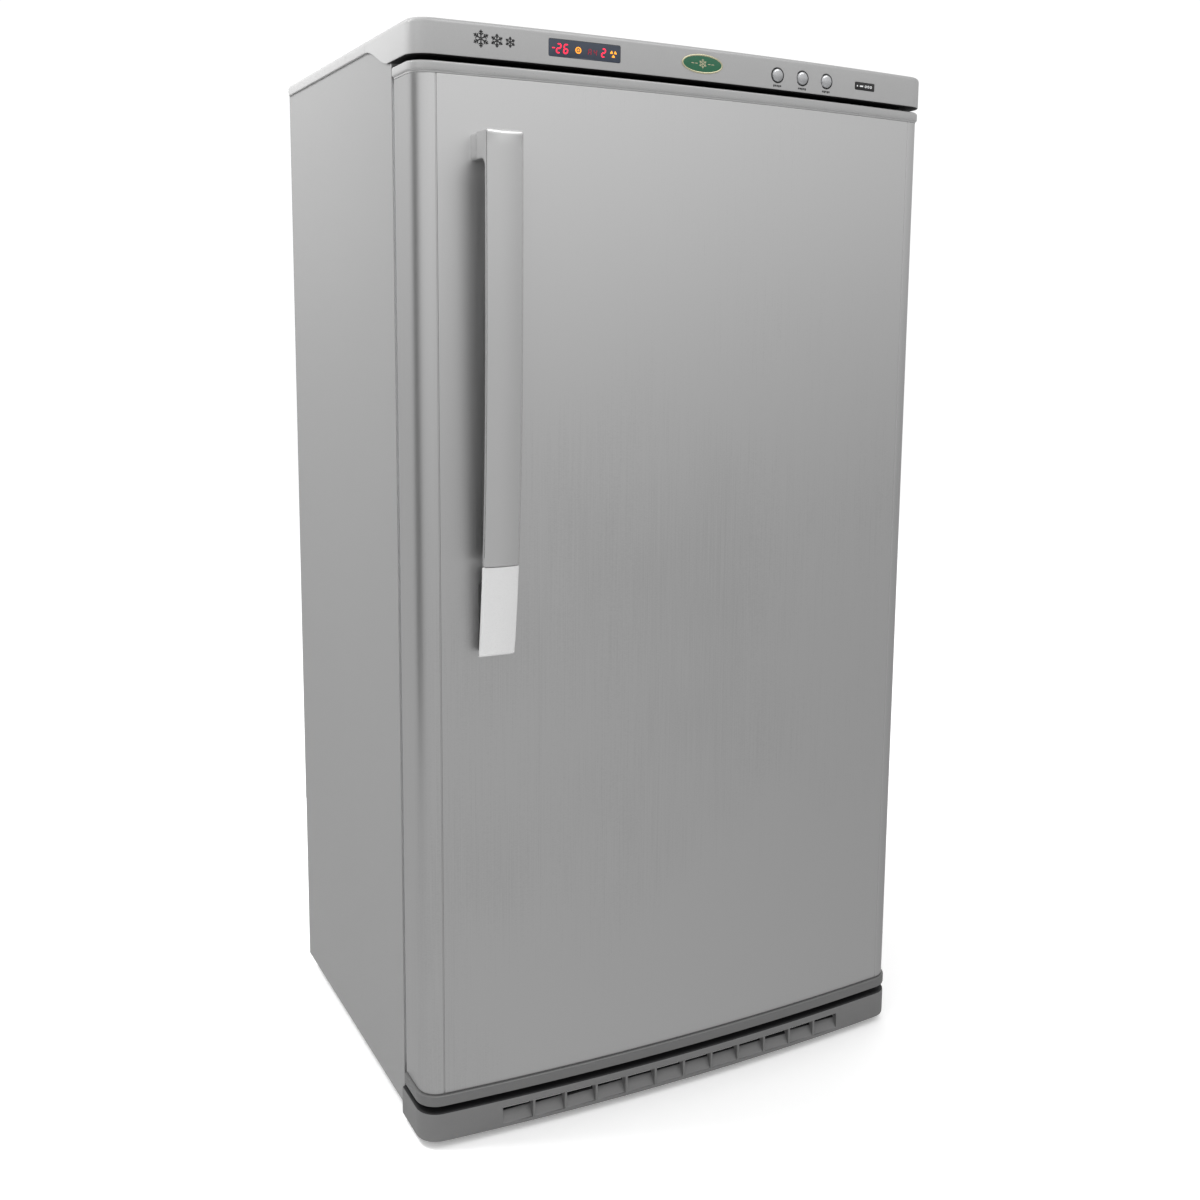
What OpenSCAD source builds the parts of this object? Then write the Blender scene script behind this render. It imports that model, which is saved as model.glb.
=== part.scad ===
// Upright single-door freezer with a bowed steel door, a full-width head cap
// that holds the controls, four pull-out drawers and a no-frost cooling unit.
// Millimetres, +Z up, front towards -Y, door hinged on the +X side.
// The origin is on the floor, under the centre of the whole object's box.

/* [Overall] */
// Width of the head cap, the plinth and the door trims
body_w = 600; // [590:2:620]
// Height of the top of the head cap above the floor
body_h = 1125; // [1100:5:1200]
// Depth from the door's front corners to the back of the rear cover
body_d = 470; // [465:1:490]
// How far the front bows forward of its two corners
bow = 15; // [10:1:18]
// Corner radius of the front in plan
corner_r = 24; // [18:1:28]

/* [Door] */
// Thickness of the door at its corners, gasket left out
door_t = 58; // [56:1:60]
// Gap between the door and the cabinet, filled by the gasket
door_gap = 8; // [8:0.5:10]
// Height of the underside of the door
door_z0 = 46.5; // [46:0.5:48]
// Inset of the steel skin behind the trims
skin_in = 2.5; // [2:0.5:4]

/* [Head cap] */
// Height of the head cap's front
cap_h = 33; // [32:1:36]
// Thickness of the edge of the top lid
lid_h = 12; // [10:1:14]
// Radius of the three push buttons
button_r = 6.85; // [6:0.05:7]
// Travel of the push buttons
button_travel = 1.5; // [1:0.1:1.6]

/* [Handle] */
// Width of the handle
handle_w = 37; // [34:1:40]
// Height of the handle's lower end
handle_z0 = 522; // [500:1:540]
// Length of the handle
handle_l = 502; // [480:1:510]
// How far the handle's upper end stands off the door
handle_reach = 43; // [40:1:46]
// Length of the pale end piece
end_piece_l = 92; // [80:1:100]

/* [Plinth] */
// Number of air openings in the plinth
vent_n = 12; // [8:2:12]
// Spacing of the air openings
vent_pitch = 36; // [34:1:36]

/* [Inside] */
// Half width of the freezing compartment
cav_x = 247.5; // [244:0.5:248]
// Radius of the hinge pins
pin_r = 5; // [4:0.5:5]

/* [Hidden] */
$fn = 48;
hw = body_w/2;
hx = hw - skin_in;
cap_z0 = body_h - cap_h;
door_z1 = cap_z0 - 5;
skin_z0 = door_z0 + 13.5;
skin_z1 = door_z1 - 11;
cab_y = door_t + door_gap;
rear_y = body_d - 8;
lid_z0 = body_h - lid_h;
lid_y = cab_y + 77;
ax = hw - 18.5;
ay = 30;
cav_z0 = 90;
cav_z1 = cap_z0 - 52;
cav_y = rear_y - 62;
step_z = 268;
step_y = 262;
room_y = 300;
room_z = 232;
side_t = 1;
R = (hw*hw + bow*bow)/(2*bow);
yc0 = R - bow;
cxr = hw - corner_r;
cyr = yc0 - sqrt(pow(R - corner_r, 2) - cxr*cxr);
bow_a = atan2(cxr, yc0 - cyr);
function front_y(x, t = 0) = yc0 - sqrt(pow(R - t, 2) - x*x);
// plan outline of the bowed front, inset by t, closed straight at y = yb
function outline(t, yb, n = 12, m = 6) = concat(
    [for (i = [-n:n]) let(a = bow_a*i/n) [(R - t)*sin(a), yc0 - (R - t)*cos(a)]],
    [for (i = [1:m]) let(a = bow_a + (90 - bow_a)*i/m)
        [cxr + (corner_r - t)*sin(a), cyr - (corner_r - t)*cos(a)]],
    [[hw - t, yb], [-hw + t, yb]],
    [for (i = [0:m-1]) let(a = -90 + (90 - bow_a)*i/m)
        [-cxr + (corner_r - t)*sin(a), cyr - (corner_r - t)*cos(a)]]);
// lower edge of the head cap's side, from the door gap up to the lid
function cap_edge(n = 10) = [for (i = [0:n]) let(u = i/n)
    [cab_y + (lid_y - cab_y)*u, cap_z0 + (lid_z0 - cap_z0)*u*u*(3 - 2*u)]];
// handle
hcx = -hw + 74.5;
hx0 = hcx - handle_w/2;
hx1 = hcx + handle_w/2;
handle_z1 = handle_z0 + handle_l;
h_skin = front_y(hcx, skin_in);
function reach(z) = let(u = (z - handle_z0)/handle_l)
    21 + (handle_reach - 21)*(1 - pow(1 - u, 3.5));
y_min = h_skin - handle_reach;
y_mid = (y_min + body_d)/2;
// panel layout on the head cap
panel_z = cap_z0 + 16.5;
button_x = [91.5, 123.5, 155.3];
// cooling unit
comp = [120, 380];
fan_y = 385;
fan_z = 106;
efan_z = 880;
wheel_r = 7.5;
drawer_z = [cav_z0 + 0.3, step_z + 4.3, step_z + 254.3, step_z + 504.3];
drawer_h = [166, 236, 236, 236];
drawer_back = [step_y - 7, 345, 345, 345];

// ---- helpers ----
module place() translate([0, -y_mid, 0]) children();
module slab(z0, z1) translate([0, 0, z0]) linear_extrude(z1 - z0) children();
module box(x0, x1, y0, y1, z0, z1)
    translate([x0, y0, z0]) cube([x1 - x0, y1 - y0, z1 - z0]);
module xprism(x0, x1)
    translate([x0, 0, 0]) rotate([90, 0, 90]) linear_extrude(x1 - x0) children();
module yprism(y0, y1)
    translate([0, y1, 0]) rotate([90, 0, 0]) linear_extrude(y1 - y0) children();
module xcyl(x0, x1, y, z, r)
    translate([x0, y, z]) rotate([0, 90, 0]) cylinder(r = r, h = x1 - x0);
module ycyl(x, y0, y1, z, r)
    translate([x, y1, z]) rotate([90, 0, 0]) cylinder(r = r, h = y1 - y0);
module zcyl(x, y, z0, z1, r) translate([x, y, z0]) cylinder(r = r, h = z1 - z0);
// a patch of the bowed front between two insets
module bow_patch(x0, x1, z0, z1, t0, t1) intersection() {
    slab(z0, z1) difference() {
        polygon(outline(t0, 60));
        polygon(outline(t1, 61));
    }
    box(x0, x1, -60, 0, z0 - 1, z1 + 1);
}
module oval(rx, rz) polygon([for (i = [0:47]) [rx*cos(i*7.5), rz*sin(i*7.5)]]);

// ---- cabinet ----
module side_sheet(x0) xprism(x0, x0 + side_t) polygon(concat(
    [[rear_y, 18], [rear_y, lid_z0]],
    [for (i = [10:-1:0]) cap_edge()[i]], [[cab_y, 18]]));
module cabinet_shell() color("#a9acaf") place() difference() {
    union() {
        side_sheet(-hx);
        side_sheet(hx - side_t);
        for (s = [-1, 1]) box(s > 0 ? hx - 13.5 : -hx, s > 0 ? hx : -hx + 13.5,
            cab_y, cab_y + 1, 18, cap_z0);
        box(-hx, hx, cab_y, cab_y + 1, cap_z0 - 13, cap_z0);
        box(-hx, hx, cab_y, rear_y, cap_z0 - 1, cap_z0);
        for (s = [-1, 1]) box(s > 0 ? hx - 22 : -hx, s > 0 ? hx : -hx + 22,
            rear_y - 1, rear_y, 20, room_z - 1);
    }
    for (x = [-284, 284], z = [34, 127, 220]) ycyl(x, rear_y - 2, rear_y + 1, z, 2.2);
}
module rear_panel() color("#8d9093") place()
    box(-hx, hx, rear_y, rear_y + 1, room_z - 1, lid_z0);
module base_pan() color("#3a3c3e") place() difference() {
    union() {
        box(-hx + side_t, hx - side_t, cab_y + 1, rear_y, 18, 20);
        box(-hx + 14, hx - 14, cab_y, cab_y + 2, 18, 60);
        for (s = [-1, 1]) {
            // front foot bracket
            box(s*255 - 25, s*255 + 25, 22, cab_y, 24, 27);
            box(s*255 - 25, s*255 + 25, cab_y - 2, cab_y + 0.5, 24, 36);
            // rear roller ears
            for (e = [-1, 1]) box(s*250 + e*11 - 1.5, s*250 + e*11 + 1.5, 424, 440, 3, 19);
            // studs that hold the compressor
            for (t = [-1, 1]) zcyl(comp[0] + s*80, comp[1] + t*40, 19, 42, 4);
        }
    }
    for (s = [-1, 1]) {
        zcyl(s*255, 40, 20, 30, 5.05);
        xcyl(s*250 - 14, s*250 + 14, 432, wheel_r, 2.55);
    }
    for (i = [0:7]) box(-240 + i*14, -234 + i*14, 340, 440, 17, 21);
}
module roller_axles() color("#8a8c8e") place() for (s = [-1, 1])
    xcyl(s*250 - 15, s*250 + 15, 432, wheel_r, 2.5);
module inner_liner() color("#eceff0") place() difference() {
    union() {
        box(-cav_x - 1.5, cav_x + 1.5, cab_y, cav_y + 1.5, step_z - 1.5, cav_z1 + 1.5);
        box(-cav_x - 1.5, cav_x + 1.5, cab_y, step_y + 1.5, cav_z0 - 1.5, step_z + 10);
        box(-hx + 13.5, hx - 13.5, cab_y, cab_y + 2, 60, cap_z0 - 13);
    }
    difference() {
        union() {
            box(-cav_x, cav_x, cab_y - 1, cav_y, step_z, cav_z1);
            box(-cav_x, cav_x, cab_y - 1, step_y, cav_z0, step_z + 1);
        }
        // shelf rails moulded on both side walls
        for (k = [1:2], s = [-1, 1])
            box(s > 0 ? 240 : -cav_x - 1, s > 0 ? cav_x + 1 : -240, 84, 348,
                step_z + 250*k - 8, step_z + 250*k);
        for (s = [-1, 1]) box(s > 0 ? 240 : -cav_x - 1, s > 0 ? cav_x + 1 : -240, 84, 263,
            step_z - 7, step_z);
    }
    zcyl(110, 385, step_z - 10, step_z + 10, 8.3);
}
module foam_insulation() color("#e9dfae") place() difference() {
    box(-hx + side_t, hx - side_t, cab_y + 2, rear_y, 20, cap_z0 - 1);
    box(-cav_x - 1.5, cav_x + 1.5, cab_y, cav_y + 1.5, step_z - 1.5, cav_z1 + 1.5);
    box(-cav_x - 1.5, cav_x + 1.5, cab_y, step_y + 1.5, cav_z0 - 1.5, step_z);
    box(-hx, hx, room_y, rear_y + 1, 19, room_z);
    zcyl(110, 385, room_z - 5, step_z + 5, 8.3);
}
module machine_room_liner() color("#9b9ea1") place() difference() {
    union() {
        box(-hx + side_t, hx - side_t, room_y, room_y + 1, 20, room_z);
        box(-hx + side_t, hx - side_t, room_y, rear_y, room_z - 1, room_z);
    }
    zcyl(110, 385, room_z - 5, room_z + 5, 8.3);
}
// ---- head cap ----
module cap_side(z0, z1) xprism(-hw - 1, hw + 1) polygon(concat(
    [[-bow - 2, z0]], cap_edge(), [[lid_y, z1], [-bow - 2, z1]]));
module head_cap() color("#a4a7aa") place() difference() {
    intersection() {
        slab(cap_z0, body_h) polygon(outline(0, lid_y));
        cap_side(cap_z0, body_h);
    }
    slab(cap_z0 + 3, body_h - 3) polygon(outline(3.5, lid_y + 1));
    box(-hw + 3.5, hw - 3.5, cab_y, lid_y + 1, cap_z0 - 1, cap_z0 + 4);
    // pockets and holes
    bow_patch(-167, -92, panel_z - 8.15, panel_z + 8.15, -2, 1.5);
    bow_patch(195, 222.5, panel_z - 6, panel_z + 2, -2, 1);
    translate([0, 0, panel_z]) intersection() {
        yprism(-40, 0) oval(24, 9.5);
        slab(-20, 20) difference() { polygon(outline(-2, 60)); polygon(outline(1, 61)); }
    }
    for (x = button_x) ycyl(x, -40, 0, panel_z - 2, button_r + 0.3);
    zcyl(ax, ay, cap_z0 - 1, cap_z0 + 4, pin_r + 2);
}
module top_lid() color("#a4a7aa") place() difference() {
    box(-hw, hw, lid_y, rear_y + 4, lid_z0, body_h);
    box(-hw + 3.5, hw - 3.5, lid_y - 1, rear_y + 0.5, lid_z0 - 1, body_h - 3);
    box(-hx, hx, rear_y, rear_y + 1, lid_z0 - 1, lid_z0);
}
module control_board() color("#2f6b46") place() {
    box(-180, 235, 10, 11.6, cap_z0 + 6, body_h - 6);
    for (x = button_x) box(x - 4, x + 4, 6, 10, panel_z - 6, panel_z + 2);
    box(-160, -99, 2, 10, panel_z - 6, panel_z + 6);
    box(190, 228, 4, 10, panel_z - 7, panel_z + 3);
    // floor brackets
    for (x = [-150, 40, 210]) box(x, x + 12, 10, 40, cap_z0 + 3, cap_z0 + 6);
}
module display_window() color("#2c3440") place()
    bow_patch(-167, -92, panel_z - 8.15, panel_z + 8.15, 0.2, 1.5);
module indicator_window() color("#111111") place()
    bow_patch(195, 222.5, panel_z - 6, panel_z + 2, -0.2, 1);
module badge() color("#1f6a48") place() translate([0, 0, panel_z]) intersection() {
    yprism(-40, 0) oval(24, 9.5);
    slab(-20, 20) difference() { polygon(outline(-1, 60)); polygon(outline(1, 61)); }
}
module push_button(x) color("#c9ccce") place() {
    yf = front_y(x);
    ycyl(x, yf - 1.2, yf + 5.5, panel_z - 2, button_r);
    translate([x, yf - 1.2, panel_z - 2]) rotate([90, 0, 0])
        rotate_extrude() polygon(concat([[0, -0.5], [button_r, -0.5]],
            [for (i = [0:6]) [button_r*cos(i*15), 1.6*sin(i*15)]]));
    ycyl(x, yf + 5.5, yf + 7, panel_z - 2, 8.5);
    ycyl(x, yf + 7, 4.2, panel_z - 2, 2.5);
}
module button_left() push_button(button_x[0]);
module button_middle() push_button(button_x[1]);
module button_right() push_button(button_x[2]);
// ---- hinges ----
module top_hinge() color("#6f7275") place() {
    box(ax - 28, ax + 12, ay - 12, cab_y + 50, cap_z0 + 4, cap_z0 + 7);
    box(ax - 28, ax + 12, cab_y + 10, cab_y + 50, cap_z0, cap_z0 + 5);
    zcyl(ax, ay, door_z1 - 14, cap_z0 + 9, pin_r);
}
module bottom_hinge() color("#6f7275") place() {
    box(ax - 26, ax + 15, ay - 14, cab_y, 40.5, 43.5);
    box(ax - 26, ax + 10, cab_y - 3, cab_y, 42, 46);
    zcyl(ax, ay, 40.5, door_z0 + 16, pin_r);
}
module hinge_washer() color("#d8dadb") place() difference() {
    zcyl(ax, ay, 43.5, door_z0 - 0.05, 10);
    zcyl(ax, ay, 43, door_z0 + 1, pin_r + 0.1);
}
module door_hinge_bushes() color("#d9d9d6") place() difference() {
    union() {
        zcyl(ax, ay, door_z1 - 18, door_z1, 8);
        zcyl(ax, ay, door_z0, door_z0 + 20, 8);
    }
    zcyl(ax, ay, door_z1 - 19, door_z1 + 1, pin_r + 0.05);
    zcyl(ax, ay, door_z0 - 1, door_z0 + 21, pin_r + 0.05);
}
// ---- plinth and feet ----
module plinth() color("#5f6265") place() difference() {
    slab(8, 40) polygon(outline(0, cab_y));
    slab(7, 37) intersection() {
        polygon(outline(3, cab_y + 1));
        translate([0, 8]) polygon(outline(3, cab_y + 1));
    }
    for (i = [0:vent_n-1]) {
        x = (i - (vent_n - 1)/2)*vent_pitch;
        yf = front_y(x);
        xprism(x - vent_pitch/2 + 1.5, x + vent_pitch/2 - 1.5) polygon([
            [yf - 6, 12.7], [yf + 0.6, 12.7], [yf + 7.5, 23.5], [yf + 16, 23.5],
            [yf + 16, 31.5], [yf - 6, 31.5]]);
    }
}
module foot(x) color("#1c1c1d") place() {
    zcyl(x, 40, 0, 7, 16);
    zcyl(x, 40, 6, 12, 9);
    zcyl(x, 40, 11, 34, 5);
}
module foot_left() foot(-255);
module foot_right() foot(255);
module roller(x) color("#2a2a2b") place() difference() {
    xcyl(x - 8, x + 8, 432, wheel_r, wheel_r);
    xcyl(x - 9, x + 9, 432, wheel_r, 2.55);
}
module roller_left() roller(-250);
module roller_right() roller(250);
// ---- cooling unit ----
module compressor() color("#18191a") place() translate([comp[0], comp[1], 0]) difference() {
    union() {
        rotate_extrude() polygon([[0, 34], [48, 34], [60, 42], [65, 56], [65, 96], [67.5, 96],
            [67.5, 101], [65, 101], [65, 138], [61, 154], [47, 167], [0, 170]]);
        box(-92, 92, -50, 50, 33, 36);
        xcyl(60, 78, 0, 120, 4);
    }
    for (sx = [-1, 1], sy = [-1, 1]) zcyl(sx*80, sy*40, 30, 40, 4.4);
}
module compressor_mounts() color("#2b2b2b") place() for (sx = [-1, 1], sy = [-1, 1])
    translate([comp[0] + sx*80, comp[1] + sy*40, 20]) difference() {
        union() { cylinder(r = 11, h = 13); cylinder(r = 13, h = 4); }
        translate([0, 0, -1]) cylinder(r = 4.2, h = 15);
    }
module start_relay() color("#f0efe8") place() difference() {
    box(24, 60, 358, 402, 66, 126);
    zcyl(comp[0], comp[1], 60, 95.9, 65.05);
    zcyl(comp[0], comp[1], 95.9, 101.1, 67.55);
    zcyl(comp[0], comp[1], 101.1, 130, 65.05);
}
module pipe_leg(a, b, r = 3) {
    d = b - a;
    l = norm(d);
    translate(a) rotate([0, acos(d[2]/l), atan2(d[1], d[0])]) cylinder(r = r, h = l);
}
module pipe_run(p, r = 3) for (i = [0:len(p)-2]) {
    pipe_leg(p[i], p[i+1], r);
    if (i > 0) translate(p[i]) sphere(r = r + 0.5);
}
module refrigerant_pipes() color("#b0713f") place() {
    pipe_run([[comp[0] + 78, comp[1], 120], [comp[0] + 96, comp[1], 120], [comp[0] + 96, 308, 120],
        [comp[0] + 96, 308, 28], [-270, 308, 28], [-270, 308, 60], [-270, 346, 60]]);
    // filter drier and the riser to the evaporator
    zcyl(-282, 318, 90, 170, 9);
    pipe_run([[-282, 318, 84], [-282, 318, 176]]);
    pipe_run([[-270, 311, 60], [-282, 311, 75], [-282, 318, 86]]);
}
module condenser_coil() color("#55595c") place() {
    for (i = [0:13]) box(-262 + i*10, -261 + i*10, 334, 440, 40, 172);
    for (j = [0:2], k = [0:3]) xcyl(-268, -124, 354 + j*33, 56 + k*33, 4);
    box(-266, -128, 334, 336, 20, 172);
}
module condenser_fan_motor() color("#3d4043") place() {
    difference() {
        box(-103, -100, 326, 444, 20, 190);
        xcyl(-110, -90, fan_y, fan_z, 58);
    }
    for (a = [30, 150, 270]) translate([0, fan_y, fan_z]) rotate([a, 0, 0])
        box(-102.6, -100.6, -4, 4, 8, 62);
    xcyl(-104, -98, fan_y, fan_z, 14);
    xcyl(-99, -78, fan_y, fan_z, 22);
    xcyl(-79, -52, fan_y, fan_z, 2.5);
}
module blades(r0, r1, n, w, t, tilt) for (i = [0:n-1]) rotate([0, 0, i*360/n])
    translate([0, 0, 0]) rotate([tilt, 0, 0]) translate([r0 - 2, -w/2, -t/2]) cube([r1 - r0 + 2, w, t]);
module fan_rotor(r1, bore) difference() {
    union() {
        translate([0, 0, -9]) cylinder(r = 14, h = 18);
        blades(14, r1, 5, 26, 1.6, 32);
    }
    translate([0, 0, -15]) cylinder(r = bore, h = 30);
}
module condenser_fan_blades() color("#1f2022") place()
    translate([-64, fan_y, fan_z]) rotate([0, 90, 0]) fan_rotor(52, 2.55);
module drip_tray() color("#303234") place() difference() {
    box(45, 200, 322, 442, 170, 200);
    box(48, 197, 325, 439, 173, 201);
}
module rear_cover() color("#2d2f31") place() difference() {
    union() {
        box(-292, 292, rear_y, rear_y + 1.5, 22, room_z - 2);
        box(-275, 190, rear_y, rear_y + 8, 40, 210);
    }
    box(-273.5, 188.5, rear_y - 1, rear_y + 6.5, 41.5, 208.5);
    for (i = [0:9], j = [0:3]) box(-258 + i*44, -224 + i*44, rear_y, rear_y + 9, 56 + j*38, 62 + j*38);
    for (x = [-284, 284], z = [34, 127, 220]) ycyl(x, rear_y - 1, rear_y + 3, z, 2.2);
    box(212, 241, rear_y - 1, rear_y + 3, 168, 192);
}
module rear_screws() color("#c4c6c8") place() for (x = [-284, 284], z = [34, 127, 220]) {
    ycyl(x, rear_y - 8, rear_y + 2, z, 2);
    ycyl(x, rear_y + 1.5, rear_y + 4, z, 4);
}
module mains_inlet() color("#17181a") place() {
    difference() {
        union() {
            box(212.2, 240.8, rear_y - 22, rear_y + 4, 168.2, 191.8);
            box(205, 248, rear_y + 1.5, rear_y + 4, 164, 196);
        }
        box(215, 238, rear_y - 14, rear_y + 5, 171.5, 188.5);
    }
    for (dx = [-7, 0, 7]) box(226.5 + dx - 1, 226.5 + dx + 1, rear_y - 15, rear_y - 1, 178, 182);
}
// ---- inside the compartment ----
module evaporator() color("#b9bdc0") place() {
    for (i = [0:25]) box(-182.5 + i*14.6, -181.5 + i*14.6, 362, 396, 340, 640);
    for (k = [0:5]) xcyl(-190, 190, 379, 365 + k*50, 4);
    for (s = [-1, 1]) box(s*191 - 1, s*191 + 1, 360, cav_y, 336, 644);
}
module evaporator_cover() color("#e4e8ea") place() difference() {
    box(-cav_x, cav_x, 352, 355, step_z + 8, cav_z1 - 2);
    difference() {
        ycyl(0, 350, 356, efan_z, 56);
        for (a = [0, 45, 90, 135]) translate([0, 350, efan_z]) rotate([0, a, 0]) translate([-60, 0, -1.5]) cube([120, 8, 3]);
        difference() { ycyl(0, 350, 356, efan_z, 38); ycyl(0, 349, 357, efan_z, 35); }
        ycyl(0, 350, 356, efan_z, 12);
    }
    for (k = [0:3], i = [0:7]) box(-196 + i*50, -158 + i*50, 351, 356, 300 + k*250 - 22, 306 + k*250 - 22);
    for (i = [0:7]) box(-196 + i*50, -158 + i*50, 351, 356, step_z + 16, step_z + 24);
}
module evaporator_fan_motor() color("#3d4043") place() {
    ycyl(0, 380, cav_y, efan_z, 20);
    ycyl(0, 359, 381, efan_z, 2.5);
    box(-45, 45, cav_y - 3, cav_y, efan_z - 8, efan_z + 8);
}
module evaporator_fan_blades() color("#e9ecee") place()
    translate([0, 369, efan_z]) rotate([90, 0, 0]) scale(1) fan_rotor_thin(50);
module fan_rotor_thin(r1) difference() {
    union() {
        translate([0, 0, -8]) cylinder(r = 13, h = 16);
        blades(13, r1, 5, 22, 1.6, 28);
    }
    translate([0, 0, -15]) cylinder(r = 2.55, h = 30);
}
module defrost_heater() color("#c79a78") place() {
    pipe_run([[-180, 379, 312], [180, 379, 312], [180, 379, 328], [-150, 379, 328]], 3.5);
    for (s = [-150, 150]) box(s - 2, s + 2, 379, cav_y, 306, 332);
}
module drain_gutter() color("#dfe3e5") place() difference() {
    union() {
        box(-200, 200, 357, 399, step_z, step_z + 22);
    }
    box(-198, 198, 359, 397, step_z + 3, step_z + 23);
    zcyl(110, 385, step_z - 1, step_z + 5, 6);
}
module drain_tube() color("#8a8d8f") place() difference() {
    zcyl(110, 385, 192, step_z, 8);
    zcyl(110, 385, 190, step_z + 1, 6);
}
module glass_shelf(z) color("#a8c8c0") place() difference() {
    box(-cav_x + 1, cav_x - 1, 86, 348, z, z + 4);
}
module shelf_lower() glass_shelf(step_z);
module shelf_middle() glass_shelf(step_z + 250);
module shelf_upper() glass_shelf(step_z + 500);
module drawer(i) {
    z0 = drawer_z[i];
    z1 = z0 + drawer_h[i];
    yb = drawer_back[i];
    color("#dfe8ec") place() difference() {
        union() {
            box(-234, 234, 103, yb, z0, z1);
            // front panel and its pull lip
            box(-238, 238, 100, 104, z0, z1 + 4);
            xprism(-95, 95) polygon([[101, z1 - 4], [91, z1 - 4], [89, z1 - 8], [89, z1 - 26],
                [91.5, z1 - 26], [91.5, z1 - 10], [93, z1 - 7.5], [101, z1 - 7.5]]);
        }
        box(-231.5, 231.5, 104.5, yb - 2.5, z0 + 2.5, z1 + 1);
    }
}
module drawer_1() drawer(0);
module drawer_2() drawer(1);
module drawer_3() drawer(2);
module drawer_4() drawer(3);
// ---- door ----
module pin_holes(r) {
    zcyl(ax, ay, door_z1 - 19, door_z1 + 1, r);
    zcyl(ax, ay, door_z0 - 1, door_z0 + 21, r);
}
module door_skin() color("#b4b7ba") place() slab(skin_z0, skin_z1) difference() {
    polygon(outline(skin_in, door_t - 2));
    polygon(outline(skin_in + 1, door_t + 1));
}
module door_foam() color("#e9dfae") place() difference() {
    union() {
        slab(skin_z0, skin_z1) polygon(outline(skin_in + 1, door_t - 2));
        box(-233, 233, door_t - 3, door_t + 14, 98, cav_z1 - 8);
    }
    pin_holes(8.2);
}
module door_liner() color("#e8ebec") place() difference() {
    union() {
        box(-hx, hx, door_t - 2, door_t, skin_z0, skin_z1);
        box(-235, 235, door_t - 2, door_t + 16, 96, cav_z1 - 6);
    }
    box(-233, 233, door_t - 3, door_t + 14, 98, cav_z1 - 8);
}
module door_gasket() color("#8f9294") place() difference() {
    box(-279.5, 279.5, door_t, cab_y - 0.3, 66, skin_z1 - 3);
    box(-259.5, 259.5, door_t - 1, cab_y + 1, 84, skin_z1 - 22);
}
module door_top_trim() color("#b9bcbe") place() difference() {
    slab(skin_z1, door_z1) polygon(outline(0.5, door_t));
    pin_holes(8.1);
}
module door_bottom_trim() color("#5d6063") place() difference() {
    slab(door_z0, skin_z0) polygon(outline(0, door_t));
    pin_holes(8.1);
}
// handle: side profile of the bar from height za to zb
function bar_front(za, zb, n) = [for (i = [0:n]) let(z = za + (zb - za)*i/n) [h_skin - reach(z), z]];
function bar_back(za, zb, n) = [for (i = [n:-1:0]) let(z = za + (zb - za)*i/n) [h_skin - reach(z) + 8, z]];
module off_door() difference() {
    children();
    slab(400, 1100) polygon(outline(skin_in, 200));
}
module handle_bar() color("#aaadb0") place() {
    z_e = handle_z0 + end_piece_l;
    xprism(hx0, hx1) polygon(concat(bar_front(z_e, handle_z1, 20), bar_back(z_e, handle_z1, 20)));
    xprism(hx0, hx1) polygon([[h_skin - handle_reach + 4, handle_z1 - 26],
        [h_skin - 14, handle_z1 - 26], [h_skin - 14, handle_z1], [h_skin - handle_reach + 4, handle_z1]]);
}
module handle_mount() color("#8f9295") place() off_door()
    box(hx0 + 0.5, hx1 - 0.5, h_skin - 14, h_skin + 6, handle_z1 - 25.5, handle_z1 - 0.5);
module handle_end_piece() color("#d4d6d7") place() off_door() {
    z_e = handle_z0 + end_piece_l;
    xprism(hx0, hx1) polygon(concat(bar_front(handle_z0, z_e, 8), bar_back(handle_z0, z_e, 8)));
    xprism(hx0 + 6, hx1 - 6) polygon([[h_skin - reach(handle_z0) + 4, handle_z0 + 2],
        [h_skin + 6, handle_z0 + 2], [h_skin + 6, z_e - 20], [h_skin - reach(z_e) + 4, z_e - 6]]);
}

cabinet_shell();
rear_panel();
base_pan();
inner_liner();
foam_insulation();
machine_room_liner();
head_cap();
top_lid();
control_board();
display_window();
indicator_window();
badge();
top_hinge();
bottom_hinge();
hinge_washer();
plinth();
roller_axles();
compressor();
compressor_mounts();
start_relay();
refrigerant_pipes();
condenser_coil();
condenser_fan_motor();
drip_tray();
rear_cover();
rear_screws();
mains_inlet();
evaporator();
evaporator_cover();
evaporator_fan_motor();
defrost_heater();
drain_gutter();
drain_tube();
shelf_lower();
shelf_middle();
shelf_upper();
button_left();
button_middle();
button_right();
foot_left();
foot_right();
roller_left();
roller_right();
condenser_fan_blades();
evaporator_fan_blades();
door_skin();
door_foam();
door_liner();
door_gasket();
door_top_trim();
door_bottom_trim();
door_hinge_bushes();
handle_bar();
handle_mount();
handle_end_piece();
drawer_1();
drawer_2();
drawer_3();
drawer_4();
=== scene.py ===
import math
import bpy
import bmesh
from mathutils import Vector, Matrix


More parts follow.
